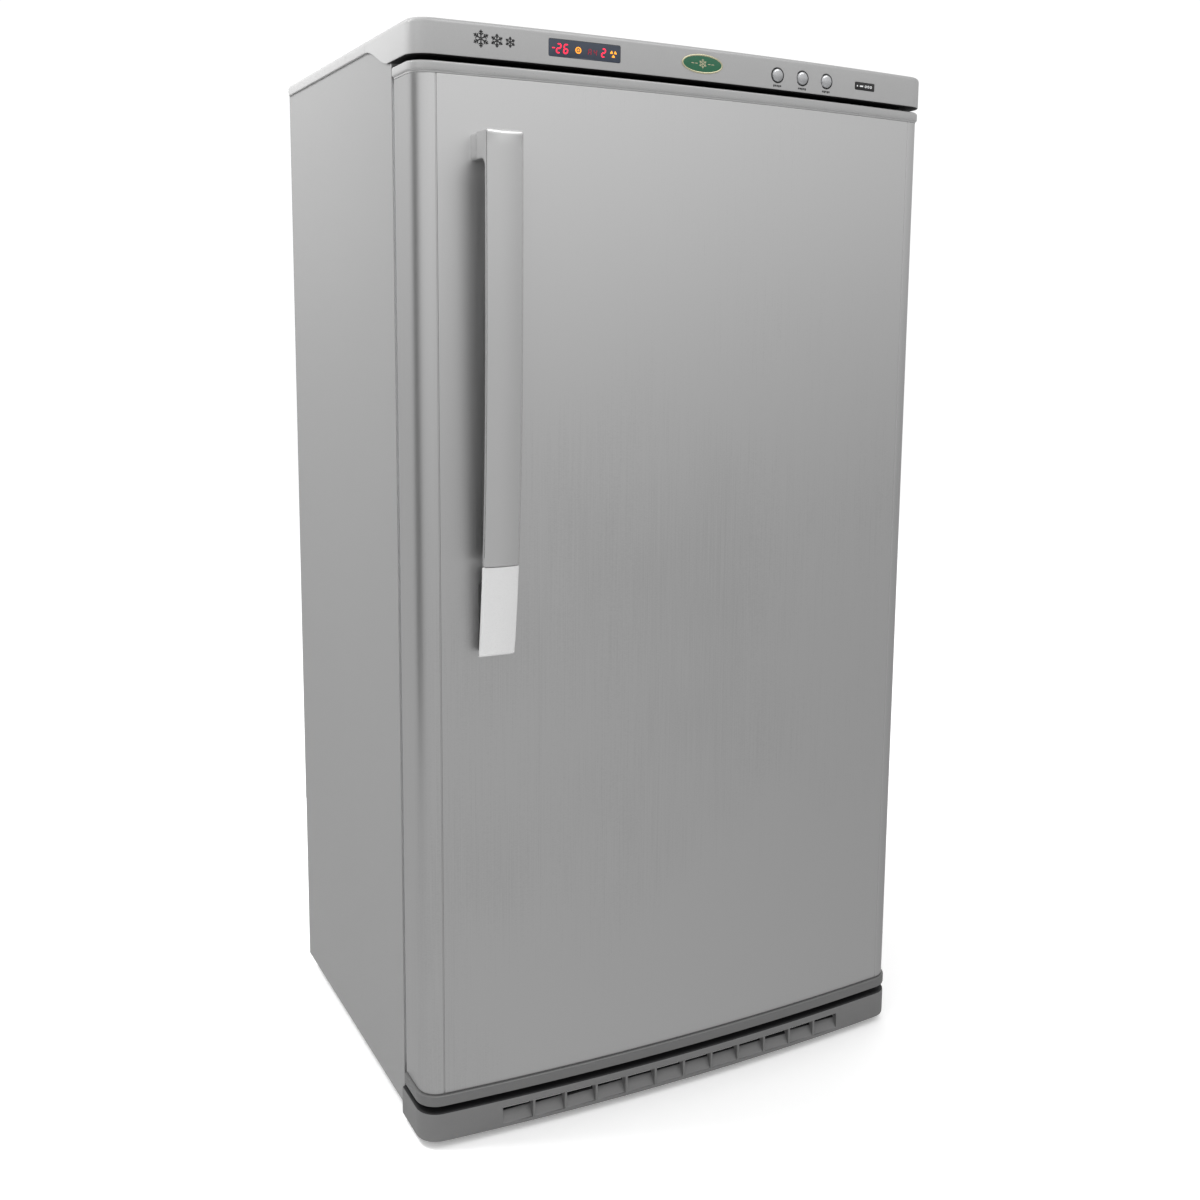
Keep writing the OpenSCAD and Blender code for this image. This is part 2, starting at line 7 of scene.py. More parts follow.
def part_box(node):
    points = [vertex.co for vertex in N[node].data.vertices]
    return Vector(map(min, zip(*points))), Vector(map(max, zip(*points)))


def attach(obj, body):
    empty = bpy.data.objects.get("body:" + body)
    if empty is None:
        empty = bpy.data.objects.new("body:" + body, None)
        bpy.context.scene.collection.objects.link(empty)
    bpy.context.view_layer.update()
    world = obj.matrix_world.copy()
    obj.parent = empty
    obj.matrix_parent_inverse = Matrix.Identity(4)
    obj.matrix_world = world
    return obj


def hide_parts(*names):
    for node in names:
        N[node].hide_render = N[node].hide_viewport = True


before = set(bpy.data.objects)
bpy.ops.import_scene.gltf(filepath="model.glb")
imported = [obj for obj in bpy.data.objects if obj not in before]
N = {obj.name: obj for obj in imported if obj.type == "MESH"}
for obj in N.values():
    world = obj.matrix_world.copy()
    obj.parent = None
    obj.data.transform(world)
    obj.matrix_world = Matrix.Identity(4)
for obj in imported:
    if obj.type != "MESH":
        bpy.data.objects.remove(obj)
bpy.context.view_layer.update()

# ------------------------------------------------------------------ dimensions (mm)
# x as in the frame; y counts from the plane of the door's front corners
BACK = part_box("rear_cover")[1].y * 1000.0
Y0 = BACK - 470.0
HW = 300.0
BOW = 15.0
CR = 24.0
R = (HW * HW + BOW * BOW) / (2 * BOW)
YC = R - BOW
CX = HW - CR
CY = YC - math.sqrt((R - CR) ** 2 - CX * CX)
BA = math.atan2(CX, YC - CY)
CAP0, CAP1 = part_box("head_cap")[0].z * 1000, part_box("head_cap")[1].z * 1000
LID0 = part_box("top_lid")[0].z * 1000
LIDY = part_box("top_lid")[0].y * 1000 - Y0
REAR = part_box("rear_panel")[0].y * 1000 - Y0
SK0, SK1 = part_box("door_skin")[0].z * 1000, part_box("door_skin")[1].z * 1000
DZ0, DZ1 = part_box("door_bottom_trim")[0].z * 1000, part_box("door_top_trim")[1].z * 1000
DOOR_T = 58.0
CAB_Y = 66.0
SKIN = 2.5
AX, AY = 281.5, 30.0
PANEL = CAP0 + 16.5
HX0, HX1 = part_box("handle_bar")[0].x * 1000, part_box("handle_bar")[1].x * 1000
HCX = (HX0 + HX1) / 2
HZ0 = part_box("handle_end_piece")[0].z * 1000
HZ1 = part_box("handle_bar")[1].z * 1000
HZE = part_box("handle_bar")[0].z * 1000


def fy(x, t=0.0):
    return YC - math.sqrt((R - t) ** 2 - x * x)


HS = fy(HCX, SKIN)


def reach(z):
    u = (z - HZ0) / (HZ1 - HZ0)
    return 21 + 22 * (1 - max(0.0, 1 - u) ** 3.5)


def P(x, y, z):
    return Vector((x / 1000.0, (y + Y0) / 1000.0, z / 1000.0))


# ------------------------------------------------------------------ materials
def rgb(v, g=None, b=None):
    """sRGB 0-255 to linear."""
    c = (v, v if g is None else g, v if b is None else b)
    return tuple(((x / 255.0) / 12.92 if x <= 10 else (((x / 255.0) + 0.055) / 1.055) ** 2.4) for x in c)


MATS = {}


def material(name, col, metal=0.0, rough=0.4, var=0.05, vscale=6.0, rvar=0.08, grain=500.0,
             stretch=(1, 1, 1), bump=0.05, bdist=0.0002, gvar=0.0, coat=0.0, coat_rough=0.1, trans=0.0,
             ior=1.45, aniso=0.0, spec=0.5, emit=None, emit_s=0.0, speck=0.0, grain2=None):
    m = bpy.data.materials.new(name)
    m.use_nodes = True
    nt = m.node_tree
    b = nt.nodes["Principled BSDF"]
    L = nt.links.new
    tc = nt.nodes.new("ShaderNodeTexCoord")
    # slow, large-scale unevenness of the finish
    n1 = nt.nodes.new("ShaderNodeTexNoise")
    n1.inputs["Scale"].default_value = vscale
    n1.inputs["Detail"].default_value = 3.0
    L(tc.outputs["Object"], n1.inputs["Vector"])
    # fine grain
    mp = nt.nodes.new("ShaderNodeMapping")
    mp.inputs["Scale"].default_value = tuple(grain * s for s in stretch)
    L(tc.outputs["Object"], mp.inputs["Vector"])
    n2 = nt.nodes.new("ShaderNodeTexNoise")
    n2.inputs["Scale"].default_value = 1.0
    n2.inputs["Detail"].default_value = 4.0
    n2.inputs["Roughness"].default_value = 0.6
    L(mp.outputs["Vector"], n2.inputs["Vector"])
    fine = n2.outputs["Fac"]
    if grain2:
        mp2 = nt.nodes.new("ShaderNodeMapping")
        mp2.inputs["Scale"].default_value = grain2
        L(tc.outputs["Object"], mp2.inputs["Vector"])
        n3 = nt.nodes.new("ShaderNodeTexNoise")
        n3.inputs["Scale"].default_value = 1.0
        n3.inputs["Detail"].default_value = 3.0
        L(mp2.outputs["Vector"], n3.inputs["Vector"])
        mx = nt.nodes.new("ShaderNodeMix")
        mx.data_type = "FLOAT"
        mx.inputs[0].default_value = 0.4
        L(fine, mx.inputs[2])
        L(n3.outputs["Fac"], mx.inputs[3])
        fine = mx.outputs[0]
    blend = nt.nodes.new("ShaderNodeMath")
    blend.operation = "MULTIPLY_ADD"
    L(fine, blend.inputs[0])
    blend.inputs[1].default_value = gvar
    L(n1.outputs["Fac"], blend.inputs[2])
    ramp = nt.nodes.new("ShaderNodeValToRGB")
    lo, hi = ramp.color_ramp.elements
    lo.position, hi.position = 0.3 + gvar * 0.3, 0.7 + gvar * 0.7
    lo.color = tuple(max(0, c * (1 - var)) for c in col) + (1,)
    hi.color = tuple(min(1, c * (1 + var)) for c in col) + (1,)
    L(blend.outputs[0], ramp.inputs["Fac"])
    colour = ramp.outputs["Color"]
    if speck > 0:
        vo = nt.nodes.new("ShaderNodeTexVoronoi")
        vo.inputs["Scale"].default_value = 900.0
        L(tc.outputs["Object"], vo.inputs["Vector"])
        sr = nt.nodes.new("ShaderNodeValToRGB")
        sr.color_ramp.elements[0].position = 0.10
        sr.color_ramp.elements[0].color = tuple(min(1, c * (1 + speck)) for c in col) + (1,)
        sr.color_ramp.elements[1].position = 0.35
        sr.color_ramp.elements[1].color = tuple(c * (1 - speck * 0.15) for c in col) + (1,)
        L(vo.outputs["Distance"], sr.inputs["Fac"])
        mc = nt.nodes.new("ShaderNodeMix")
        mc.data_type = "RGBA"
        mc.inputs[0].default_value = 0.5
        L(colour, mc.inputs[6])
        L(sr.outputs["Color"], mc.inputs[7])
        colour = mc.outputs[2]
    L(colour, b.inputs["Base Color"])
    rr = nt.nodes.new("ShaderNodeMapRange")
    rr.inputs["From Min"].default_value = 0.3
    rr.inputs["From Max"].default_value = 0.7
    rr.inputs["To Min"].default_value = max(0.02, rough - rvar)
    rr.inputs["To Max"].default_value = min(1.0, rough + rvar)
    L(fine, rr.inputs["Value"])
    L(rr.outputs["Result"], b.inputs["Roughness"])
    if bump > 0:
        bp = nt.nodes.new("ShaderNodeBump")
        bp.inputs["Strength"].default_value = bump
        bp.inputs["Distance"].default_value = bdist
        L(fine, bp.inputs["Height"])
        L(bp.outputs["Normal"], b.inputs["Normal"])
    b.inputs["Metallic"].default_value = metal
    b.inputs["Specular IOR Level"].default_value = spec
    b.inputs["IOR"].default_value = ior
    b.inputs["Coat Weight"].default_value = coat
    b.inputs["Coat Roughness"].default_value = coat_rough
    b.inputs["Transmission Weight"].default_value = trans
    b.inputs["Anisotropic"].default_value = aniso
    if emit is not None:
        b.inputs["Emission Color"].default_value = tuple(emit) + (1,)
        b.inputs["Emission Strength"].default_value = emit_s
    m.diffuse_color = tuple(col) + (1,)
    MATS[name] = m
    return m


material("door_steel", rgb(213, 213, 213), metal=1.0, rough=0.38, var=0.075, vscale=2.2, rvar=0.06,
         grain=1.0, stretch=(1500, 1500, 9), grain2=(420, 420, 900), bump=0.10, bdist=0.00008, gvar=1.1, aniso=0.35)
material("cabinet_paint", rgb(160, 160, 160), metal=0.55, rough=0.40, var=0.03, vscale=1.8, rvar=0.05,
         grain=1600, bump=0.06, bdist=0.00006, gvar=0.3, coat=0.25, coat_rough=0.25, speck=0.10)
material("cap_plastic", rgb(171, 171, 171), metal=0.35, rough=0.38, var=0.03, vscale=5, rvar=0.05,
         grain=1400, bump=0.06, bdist=0.00006, gvar=0.3, coat=0.2, coat_rough=0.2, speck=0.12)
material("trim_light", rgb(173, 173, 173), metal=0.45, rough=0.34, var=0.03, vscale=6, grain=1200, bump=0.05,
         bdist=0.00006, gvar=0.3, speck=0.08)
material("trim_dark", rgb(112, 112, 112), metal=0.35, rough=0.36, var=0.05, vscale=6, grain=1200, bump=0.06,
         bdist=0.00006, gvar=0.3, speck=0.10)
material("plinth_plastic", rgb(116, 116, 116), metal=0.25, rough=0.42, var=0.05, vscale=7, grain=1300, bump=0.08,
         bdist=0.00008, gvar=0.4, speck=0.10)
# near-black painted shade, put on faces in the gaps between parts and deep in the plinth's recesses, where shade falls
material("painted_recess_shade", rgb(34, 34, 35), metal=0.0, rough=0.6, var=0.08, vscale=9, grain=900, bump=0.1, bdist=0.0001, gvar=0.4)
material("handle_steel", rgb(226, 226, 226), metal=0.95, rough=0.24, var=0.02, vscale=3, rvar=0.03, grain=1.0,
         stretch=(2600, 60, 3), bump=0.012, bdist=0.00002, gvar=0.08, aniso=0.3)
material("handle_pale", rgb(219, 219, 219), metal=0.30, rough=0.32, var=0.012, vscale=5, grain=2600, bump=0.015,
         bdist=0.00005, gvar=0.3)
# near-black: painted shade on the grip's inner side and under its tip, and also the dark rings round the buttons
material("handle_base", rgb(34, 35, 36), metal=0.1, rough=0.45, var=0.06, vscale=9, grain=900, bump=0.1,
         bdist=0.0001, gvar=0.4)
material("button_chrome", rgb(205, 206, 208), metal=0.9, rough=0.20, var=0.03, vscale=60, grain=2500, bump=0.02,
         bdist=0.00003, gvar=0.3)
material("window_dark", rgb(48, 56, 70), metal=0.0, rough=0.14, var=0.12, vscale=30, grain=2200, bump=0.02,
         bdist=0.00003, gvar=0.3, coat=0.6, coat_rough=0.06)
material("window_black", rgb(14, 14, 15), metal=0.0, rough=0.16, var=0.15, vscale=40, grain=2200, bump=0.02,
         bdist=0.00003, gvar=0.3, coat=0.5, coat_rough=0.06)
material("led_red", rgb(235, 34, 62), rough=0.4, var=0.08, vscale=200, grain=3000, bump=0.0, emit=rgb(245, 36, 70), emit_s=1.3)
material("led_amber", rgb(240, 150, 40), rough=0.4, var=0.08, vscale=200, grain=3000, bump=0.0, emit=rgb(250, 150, 40), emit_s=1.1)
material("led_dim", rgb(120, 30, 48), rough=0.4, var=0.08, vscale=200, grain=3000, bump=0.0, emit=rgb(150, 30, 50), emit_s=0.5)
material("badge_green", rgb(22, 92, 62), metal=0.15, rough=0.22, var=0.10, vscale=60, grain=2000, bump=0.03,
         bdist=0.00004, gvar=0.4, coat=0.8, coat_rough=0.06)
material("badge_rim", rgb(214, 208, 176), metal=0.85, rough=0.25, var=0.05, vscale=80, grain=2200, bump=0.02,
         bdist=0.00003, gvar=0.3)
material("ink_black", rgb(20, 20, 21), rough=0.5, var=0.15, vscale=120, grain=2500, bump=0.03, bdist=0.00003, gvar=0.3)
material("ink_white", rgb(228, 229, 230), rough=0.5, var=0.05, vscale=120, grain=2500, bump=0.03, bdist=0.00003, gvar=0.3)
material("liner_white", rgb(216, 218, 219), rough=0.32, var=0.015, vscale=5, grain=700, bump=0.05, bdist=0.0001, gvar=0.3,
         coat=0.15, coat_rough=0.15)
material("foam", rgb(232, 220, 176), rough=0.9, var=0.10, vscale=30, grain=260, bump=0.5, bdist=0.0006, gvar=0.6)
material("galvanised", rgb(160, 163, 166), metal=0.8, rough=0.42, var=0.035, vscale=14, rvar=0.05, grain=420, bump=0.06,
         bdist=0.00008, gvar=0.5)
material("steel_plain", rgb(172, 174, 176), metal=0.95, rough=0.30, var=0.06, vscale=30, grain=900, bump=0.06,
         bdist=0.00008, gvar=0.4)
material("black_metal", rgb(38, 39, 41), metal=0.2, rough=0.38, var=0.12, vscale=14, grain=700, bump=0.10, bdist=0.00015,
         gvar=0.5, coat=0.3, coat_rough=0.25)
material("black_plastic", rgb(34, 35, 37), rough=0.50, var=0.10, vscale=12, grain=900, bump=0.14, bdist=0.00012, gvar=0.5)
material("black_rubber", rgb(26, 26, 27), rough=0.72, var=0.14, vscale=20, grain=600, bump=0.22, bdist=0.0002, gvar=0.6)
material("gasket_grey", rgb(150, 152, 154), rough=0.60, var=0.05, vscale=9, grain=800, bump=0.10, bdist=0.0001, gvar=0.4)
material("board_green", rgb(34, 96, 62), rough=0.38, var=0.18, vscale=70, grain=900, bump=0.12, bdist=0.0001, gvar=0.6)
material("copper", rgb(190, 112, 70), metal=0.95, rough=0.30, var=0.14, vscale=26, grain=500, bump=0.05, bdist=0.0001, gvar=0.5)
material("finned_aluminium", rgb(196, 199, 202), metal=0.9, rough=0.34, var=0.06, vscale=30, grain=900, bump=0.06,
         bdist=0.0001, gvar=0.4)
material("bush_plastic", rgb(226, 226, 221), rough=0.42, var=0.04, vscale=20, grain=1200, bump=0.06, bdist=0.0001, gvar=0.3)
material("drawer_clear", rgb(196, 210, 218), rough=0.34, var=0.02, vscale=8, rvar=0.05, grain=420, bump=0.02, bdist=0.0001,
         gvar=0.2, trans=0.30, ior=1.49)
material("drawer_front", rgb(204, 212, 218), rough=0.28, var=0.015, vscale=7, grain=700, bump=0.04, bdist=0.0001, gvar=0.3,
         ior=1.49, coat=0.25, coat_rough=0.12)
material("shelf_glass", rgb(196, 226, 216), rough=0.05, var=0.03, vscale=8, rvar=0.02, grain=500, bump=0.01,
         bdist=0.0001, gvar=0.3, trans=0.92, ior=1.52)


# ------------------------------------------------------------------ mesh helpers
def piece(name, bm, mat, body, stands_for=(), sharp=32, mats=None):
    bmesh.ops.remove_doubles(bm, verts=bm.verts, dist=1e-6)
    bmesh.ops.recalc_face_normals(bm, faces=bm.faces)
    me = bpy.data.meshes.new(name)
    bm.to_mesh(me)
    bm.free()
    o = bpy.data.objects.new(name, me)
    bpy.context.scene.collection.objects.link(o)
    for x in (mats or [mat]):
        me.materials.append(MATS[x])
    shade(me, sharp)
    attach(o, body)
    if stands_for:
        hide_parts(*stands_for)
    return o


def shade(me, sharp=32):
    me.shade_smooth()
    me.set_sharp_from_angle(angle=math.radians(sharp))


def add_loft(bm, rings, caps=True, wrap=False, mat=0, closed=True):
    """Skins a list of rings of equal count; wrap joins the last ring to the first."""
    vs = [[bm.verts.new(p) for p in r] for r in rings]
    n = len(vs[0])
    k = len(vs)
    faces = []
    for i in range(k if wrap else k - 1):
        a, b = vs[i], vs[(i + 1) % k]
        for j in range(n if closed else n - 1):
            q = (j + 1) % n
            try:
                faces.append(bm.faces.new((a[j], a[q], b[q], b[j])))
            except ValueError:
                pass
    if caps and not wrap:
        for r in (vs[0], vs[-1]):
            f = bm.faces.new(r)
            faces.append(f)
    for f in faces:
        f.material_index = mat
    return faces


def tidy_caps(bm):
    bm.normal_update()
    big = [f for f in bm.faces if len(f.verts) > 4]
    if big:
        bmesh.ops.triangulate(bm, faces=big, quad_method="FIXED", ngon_method="EAR_CLIP")


def outline(t, z, yb, n=30, m=9, groove=0.0, gw=0.5, closed_back=True, ext=0.0):
    """Plan outline of the bowed front, inset by t, with a fine groove beside each rounded corner."""
    angs = []
    ga = (gw + 0.5) / R
    for i in range(-n, n + 1):
        angs.append((BA * (1 - 3.5 * ga / BA) * i / n, 0.0))
    left = [(-BA + 2.6 * ga, 0.0), (-BA + 2.0 * ga, 1.0), (-BA + 1.4 * ga, 1.0), (-BA + 0.8 * ga, 0.0), (-BA, 0.0)]
    right = [(-a, g) for a, g in left]
    bows = [left[4], left[3], left[2], left[1], left[0]] + angs + [right[0], right[1], right[2], right[3], right[4]]
    pts = []
    for a, g in bows:
        r = R - t - g * groove
        pts.append((r * math.sin(a), YC - r * math.cos(a)))
    for i in range(1, m + 1):
        a = BA + (math.pi / 2 - BA) * i / m
        pts.append((CX + (CR - t) * math.sin(a), CY - (CR - t) * math.cos(a)))
    pts.append((HW - t, (CY + yb) / 2))
    pts.append((HW - t, yb))
    pts.append((-HW + t, yb))
    pts.append((-HW + t, (CY + yb) / 2))
    for i in range(0, m):
        a = -math.pi / 2 + (math.pi / 2 - BA) * i / m
        pts.append((-CX + (CR - t) * math.sin(a), CY - (CR - t) * math.cos(a)))
    return [P(x, y, z) for x, y in pts]


def rrect(x0, x1, y0, y1, r, n=5):
    """Rounded rectangle, counter-clockwise, as 2-D points."""
    r = max(0.01, min(r, (x1 - x0) / 2 - 0.01, (y1 - y0) / 2 - 0.01))
    out = []
    for cx, cy, a0 in ((x1 - r, y0 + r, -90), (x1 - r, y1 - r, 0), (x0 + r, y1 - r, 90), (x0 + r, y0 + r, 180)):
        for i in range(n + 1):
            a = math.radians(a0 + 90 * i / n)
            out.append((cx + r * math.cos(a), cy + r * math.sin(a)))
    return out


def offset_poly(pts, d):
    """Moves a closed polygon inward by d along mitred vertex normals."""
    n = len(pts)
    area = sum(pts[i][0] * pts[(i + 1) % n][1] - pts[(i + 1) % n][0] * pts[i][1] for i in range(n))
    s = 1.0 if area > 0 else -1.0
    out = []
    for i in range(n):
        a, b, c = Vector(pts[i - 1]), Vector(pts[i]), Vector(pts[(i + 1) % n])
        e1, e2 = (b - a).normalized(), (c - b).normalized()
        n1, n2 = Vector((-e1.y, e1.x)) * s, Vector((-e2.y, e2.x)) * s
        k = n1 + n2
        if k.length < 1e-6:
            k = n1
        k.normalize()
        out.append(tuple(b + k * (d / max(0.35, k.dot(n1)))))
    return out


def prism(bm, pts, lo, hi, put, fillet=0.0, steps=3, mat=0):
    """Extrudes a polygon between lo and hi with rounded end edges; put(u, v, w) gives the place."""
    rings = []
    if fillet > 0:
        for i in range(steps + 1):
            a = math.pi / 2 * i / steps
            rings.append((lo + fillet * (1 - math.cos(a)), fillet * (1 - math.sin(a))))
        for i in range(steps, -1, -1):
            a = math.pi / 2 * i / steps
            rings.append((hi - fillet * (1 - math.cos(a)), fillet * (1 - math.sin(a))))
    else:
        rings = [(lo, 0.0), (hi, 0.0)]
    add_loft(bm, [[put(u, v, w) for u, v in (offset_poly(pts, d) if d > 0 else pts)] for w, d in rings], mat=mat)
    tidy_caps(bm)


def rbox(bm, x0, x1, y0, y1, z0, z1, r=1.0, mat=0, corner=None):
    """A box with rounded edges all round."""
    c = corner if corner else r
    prism(bm, rrect(x0, x1, y0, y1, c, 4), z0, z1, lambda u, v, w: P(u, v, w), fillet=min(r, (z1 - z0) / 2.05), mat=mat)


def lathe(bm, profile, put, n=40, mat=0):
    """Turns (r, h) points about an axis; both ends lie on the axis."""
    rings = []
    for r, h in profile[1:-1]:
        rings.append([put(r * math.cos(2 * math.pi * i / n), r * math.sin(2 * math.pi * i / n), h) for i in range(n)])
    add_loft(bm, rings, caps=False, mat=mat)
    bm.verts.ensure_lookup_table()
    k = len(bm.verts)
    first = bm.verts[k - n * len(rings):k - n * (len(rings) - 1)]
    last = bm.verts[k - n:k]
    for ring, (r, h) in ((first, profile[0]), (last, profile[-1])):
        c = bm.verts.new(put(0, 0, h))
        for i in range(n):
            f = bm.faces.new((ring[i], ring[(i + 1) % n], c))
            f.material_index = mat


def solid(bm):
    bmesh.ops.remove_doubles(bm, verts=bm.verts, dist=1e-6)
    bmesh.ops.recalc_face_normals(bm, faces=bm.faces)
    me = bpy.data.meshes.new("tmp")
    bm.to_mesh(me)
    bm.free()
    o = bpy.data.objects.new("tmp", me)
    bpy.context.scene.collection.objects.link(o)
    return o


def boolean(o, other, op="DIFFERENCE"):
    m = o.modifiers.new("b", "BOOLEAN")
    m.operation = op
    m.solver = "EXACT"
    m.object = other
    bpy.context.view_layer.update()
    dg = bpy.context.evaluated_depsgraph_get()
    me = bpy.data.meshes.new_from_object(o.evaluated_get(dg))
    o.modifiers.clear()
    old = o.data
    o.data = me
    bpy.data.meshes.remove(old)
    dead = other.data
    bpy.data.objects.remove(other)
    bpy.data.meshes.remove(dead)
    return o


def finish_solid(o, name, mat, body, stands_for=(), sharp=32, bevel=0.0, mats=None):
    bm = bmesh.new()
    bm.from_mesh(o.data)
    bmesh.ops.remove_doubles(bm, verts=bm.verts, dist=2e-6)
    bmesh.ops.dissolve_degenerate(bm, edges=bm.edges, dist=2e-6)
    if bevel > 0:
        es = [e for e in bm.edges if e.is_manifold and len(e.link_faces) == 2 and e.calc_face_angle(0) > math.radians(50)]
        bmesh.ops.bevel(bm, geom=es, offset=bevel / 1000.0, segments=2, profile=0.6, affect="EDGES", clamp_overlap=True)
    tidy_caps(bm)
    old = o.data
    bpy.data.objects.remove(o)
    bpy.data.meshes.remove(old)
    return piece(name, bm, mat, body, stands_for, sharp, mats)


def fillet_rings(z0, z1, t, r0, r1, steps=5):
    """(t, z) stations of a wall between z0 and z1 with rounded lower and upper edges."""
    out = []
    for i in range(steps + 1):
        a = math.pi / 2 * i / steps
        out.append((t + r0 * (1 - math.sin(a)), z0 + r0 * (1 - math.cos(a))))
    for i in range(steps, -1, -1):
        a = math.pi / 2 * i / steps
        out.append((t + r1 * (1 - math.sin(a)), z1 - r1 * (1 - math.cos(a))))
    return out


def on_bow(bm, poly, t0, t1, mat=0):
    """A small flat-sided plate of outline poly (x, z) lying on the bowed front between insets t0 and t1."""
    a = [bm.verts.new(P(x, fy(x, t0), z)) for x, z in poly]
    b = [bm.verts.new(P(x, fy(x, t1), z)) for x, z in poly]
    n = len(poly)
    fs = [bm.faces.new(a), bm.faces.new(list(reversed(b)))]
    for i in range(n):
        fs.append(bm.faces.new((a[i], b[i], b[(i + 1) % n], a[(i + 1) % n])))
    for f in fs:
        f.material_index = mat


def bow_window(bm, x0, x1, z0, z1, t0, t1, r=1.0, edge=0.4, nx=16):
    """A plate with rounded corners that follows the bowed front, its front edge rounded."""
    def pts(d):
        base = rrect(x0 + d, x1 - d, z0 + d, z1 - d, max(0.05, r - d), 4)
        out = []
        for i, p in enumerate(base):
            q = base[(i + 1) % len(base)]
            out.append(p)
            if abs(q[0] - p[0]) > (x1 - x0) * 0.5:
                for k in range(1, nx):
                    out.append((p[0] + (q[0] - p[0]) * k / nx, p[1]))
        return out
    rings = [[P(x, fy(x, t1), z) for x, z in pts(0)], [P(x, fy(x, t0 + edge), z) for x, z in pts(0)],
             [P(x, fy(x, t0 + edge * 0.3), z) for x, z in pts(edge * 0.3)], [P(x, fy(x, t0), z) for x, z in pts(edge)]]
    vs = [[bm.verts.new(p) for p in ring] for ring in rings]
    n = len(vs[0])
    for a, b in zip(vs, vs[1:]):
        for j in range(n):
            bm.faces.new((a[j], a[(j + 1) % n], b[(j + 1) % n], b[j]))
    # front and back are strips between the matching points of the lower and upper edge
    for ring in (vs[0], vs[-1]):
        f = bm.faces.new(ring)
        f.normal_update()
        bmesh.ops.triangulate(bm, faces=[f], ngon_method="EAR_CLIP")


# ------------------------------------------------------------------ door
def door_skin():
    bm = bmesh.new()
    st = fillet_rings(SK0, SK1, SKIN, 0.9, 0.9, 4)
    outer = [outline(t, z, 57.9, groove=0.9) for t, z in st]
    inner = [outline(SKIN + 1.0, z, 57.9) for t, z in st]
    n = len(outer[0])
    m = 9
    nb = n - 2 * (m) - 4
    # the open back lies between the two corners at y = 56
    ib = nb + m + 1
    order = [(ib + 1 + k) % n for k in range(n)]
    rings = []
    for o, i in zip(outer, inner):
        seq = [o[k] for k in order]
        rev = [i[k] for k in reversed(order)]
        rings.append(seq + rev)
    vs = [[bm.verts.new(p) for p in r] for r in rings]
    k = len(rings[0])
    for a, b in zip(vs, vs[1:]):
        for j in range(k):
            bm.faces.new((a[j], a[(j + 1) % k], b[(j + 1) % k], b[j]))
    for ring in (vs[0], vs[-1]):
        for j in range(n - 1):
            bm.faces.new((ring[j], ring[j + 1], ring[k - 2 - j], ring[k - 1 - j]))
    return piece("door_face", bm, "door_steel", "door", ["door_skin"], sharp=24)


def door_core():
    bm = bmesh.new()
    add_loft(bm, [outline(t, z, 55.9) for t, z in fillet_rings(SK0 + 0.4, SK1 - 0.4, SKIN + 1.1, 1.0, 1.0, 3)])
    tidy_caps(bm)
    piece("door_foam_core", bm, "foam", "door", ["door_foam"], sharp=40)


def paint_gap_shade(o, sign, z):
    """The faces that look into a gap are painted near-black as painted shade: those facing up (1) or down (-1) within 1
    mm of height z.
    """
    for f in o.data.polygons:
        if f.normal.z * sign > 0.7 and abs(f.center.z * 1000 - z) < 1.0:
            f.material_index = 1


def hole_cyl(x, y, z0, z1, r, n=40):
    bm = bmesh.new()
    rings = [[P(x + r * math.cos(2 * math.pi * i / n), y + r * math.sin(2 * math.pi * i / n), z) for i in range(n)] for z in (z0, z1)]
    add_loft(bm, rings)
    return solid(bm)


def cyl_y(x, z, y0, y1, r, n=40):
    bm = bmesh.new()
    rings = [[P(x + r * math.cos(2 * math.pi * i / n), y, z + r * math.sin(2 * math.pi * i / n)) for i in range(n)] for y in (y0, y1)]
    add_loft(bm, rings)
    return solid(bm)


def door_trims():
    # top trim: a stepped, rounded band above the steel
    bm = bmesh.new()
    prof = [(3.2, SK1), (2.4, SK1 + 0.03), (2.4, SK1 + 1.6), (1.5, SK1 + 2.0), (0.9, SK1 + 2.6), (0.6, SK1 + 3.4), (0.5, SK1 + 4.5),
            (0.5, DZ1 - 2.4), (0.75, DZ1 - 1.2), (1.4, DZ1 - 0.45), (2.4, DZ1)]
    add_loft(bm, [outline(t, z, DOOR_T) for t, z in prof])
    tidy_caps(bm)
    o = boolean(solid(bm), hole_cyl(AX, AY, SK1 - 2, DZ1 + 2, 8.1))
    # the top face of the band, in the gap under the cap, is painted near-black as painted shade
    paint_gap_shade(finish_solid(o, "door_top_band", "trim_light", "door", ["door_top_trim"], mats=["trim_light", "painted_recess_shade"]), 1, DZ1)
    # bottom trim: dark band with a lip under the steel
    bm = bmesh.new()
    prof = [(2.6, DZ0), (1.2, DZ0 + 0.4), (0.3, DZ0 + 1.3), (0.0, DZ0 + 2.6), (0.0, SK0 - 2.6), (0.2, SK0 - 1.7), (0.8, SK0 - 1.1),
            (1.8, SK0 - 0.93), (3.2, SK0 - 0.9), (3.3, SK0)]
    fs = add_loft(bm, [outline(t, z, DOOR_T) for t, z in prof])
    for f in fs:
        c = f.calc_center_median().z * 1000
        f.material_index = 0
    tidy_caps(bm)
    o = boolean(solid(bm), hole_cyl(AX, AY, DZ0 - 2, SK0 + 2, 8.1))
    # the underside of the band, in the gap above the plinth, is painted near-black as painted shade
    paint_gap_shade(finish_solid(o, "door_bottom_band", "trim_dark", "door", ["door_bottom_trim"], mats=["trim_dark", "painted_recess_shade"]), -1, DZ0)


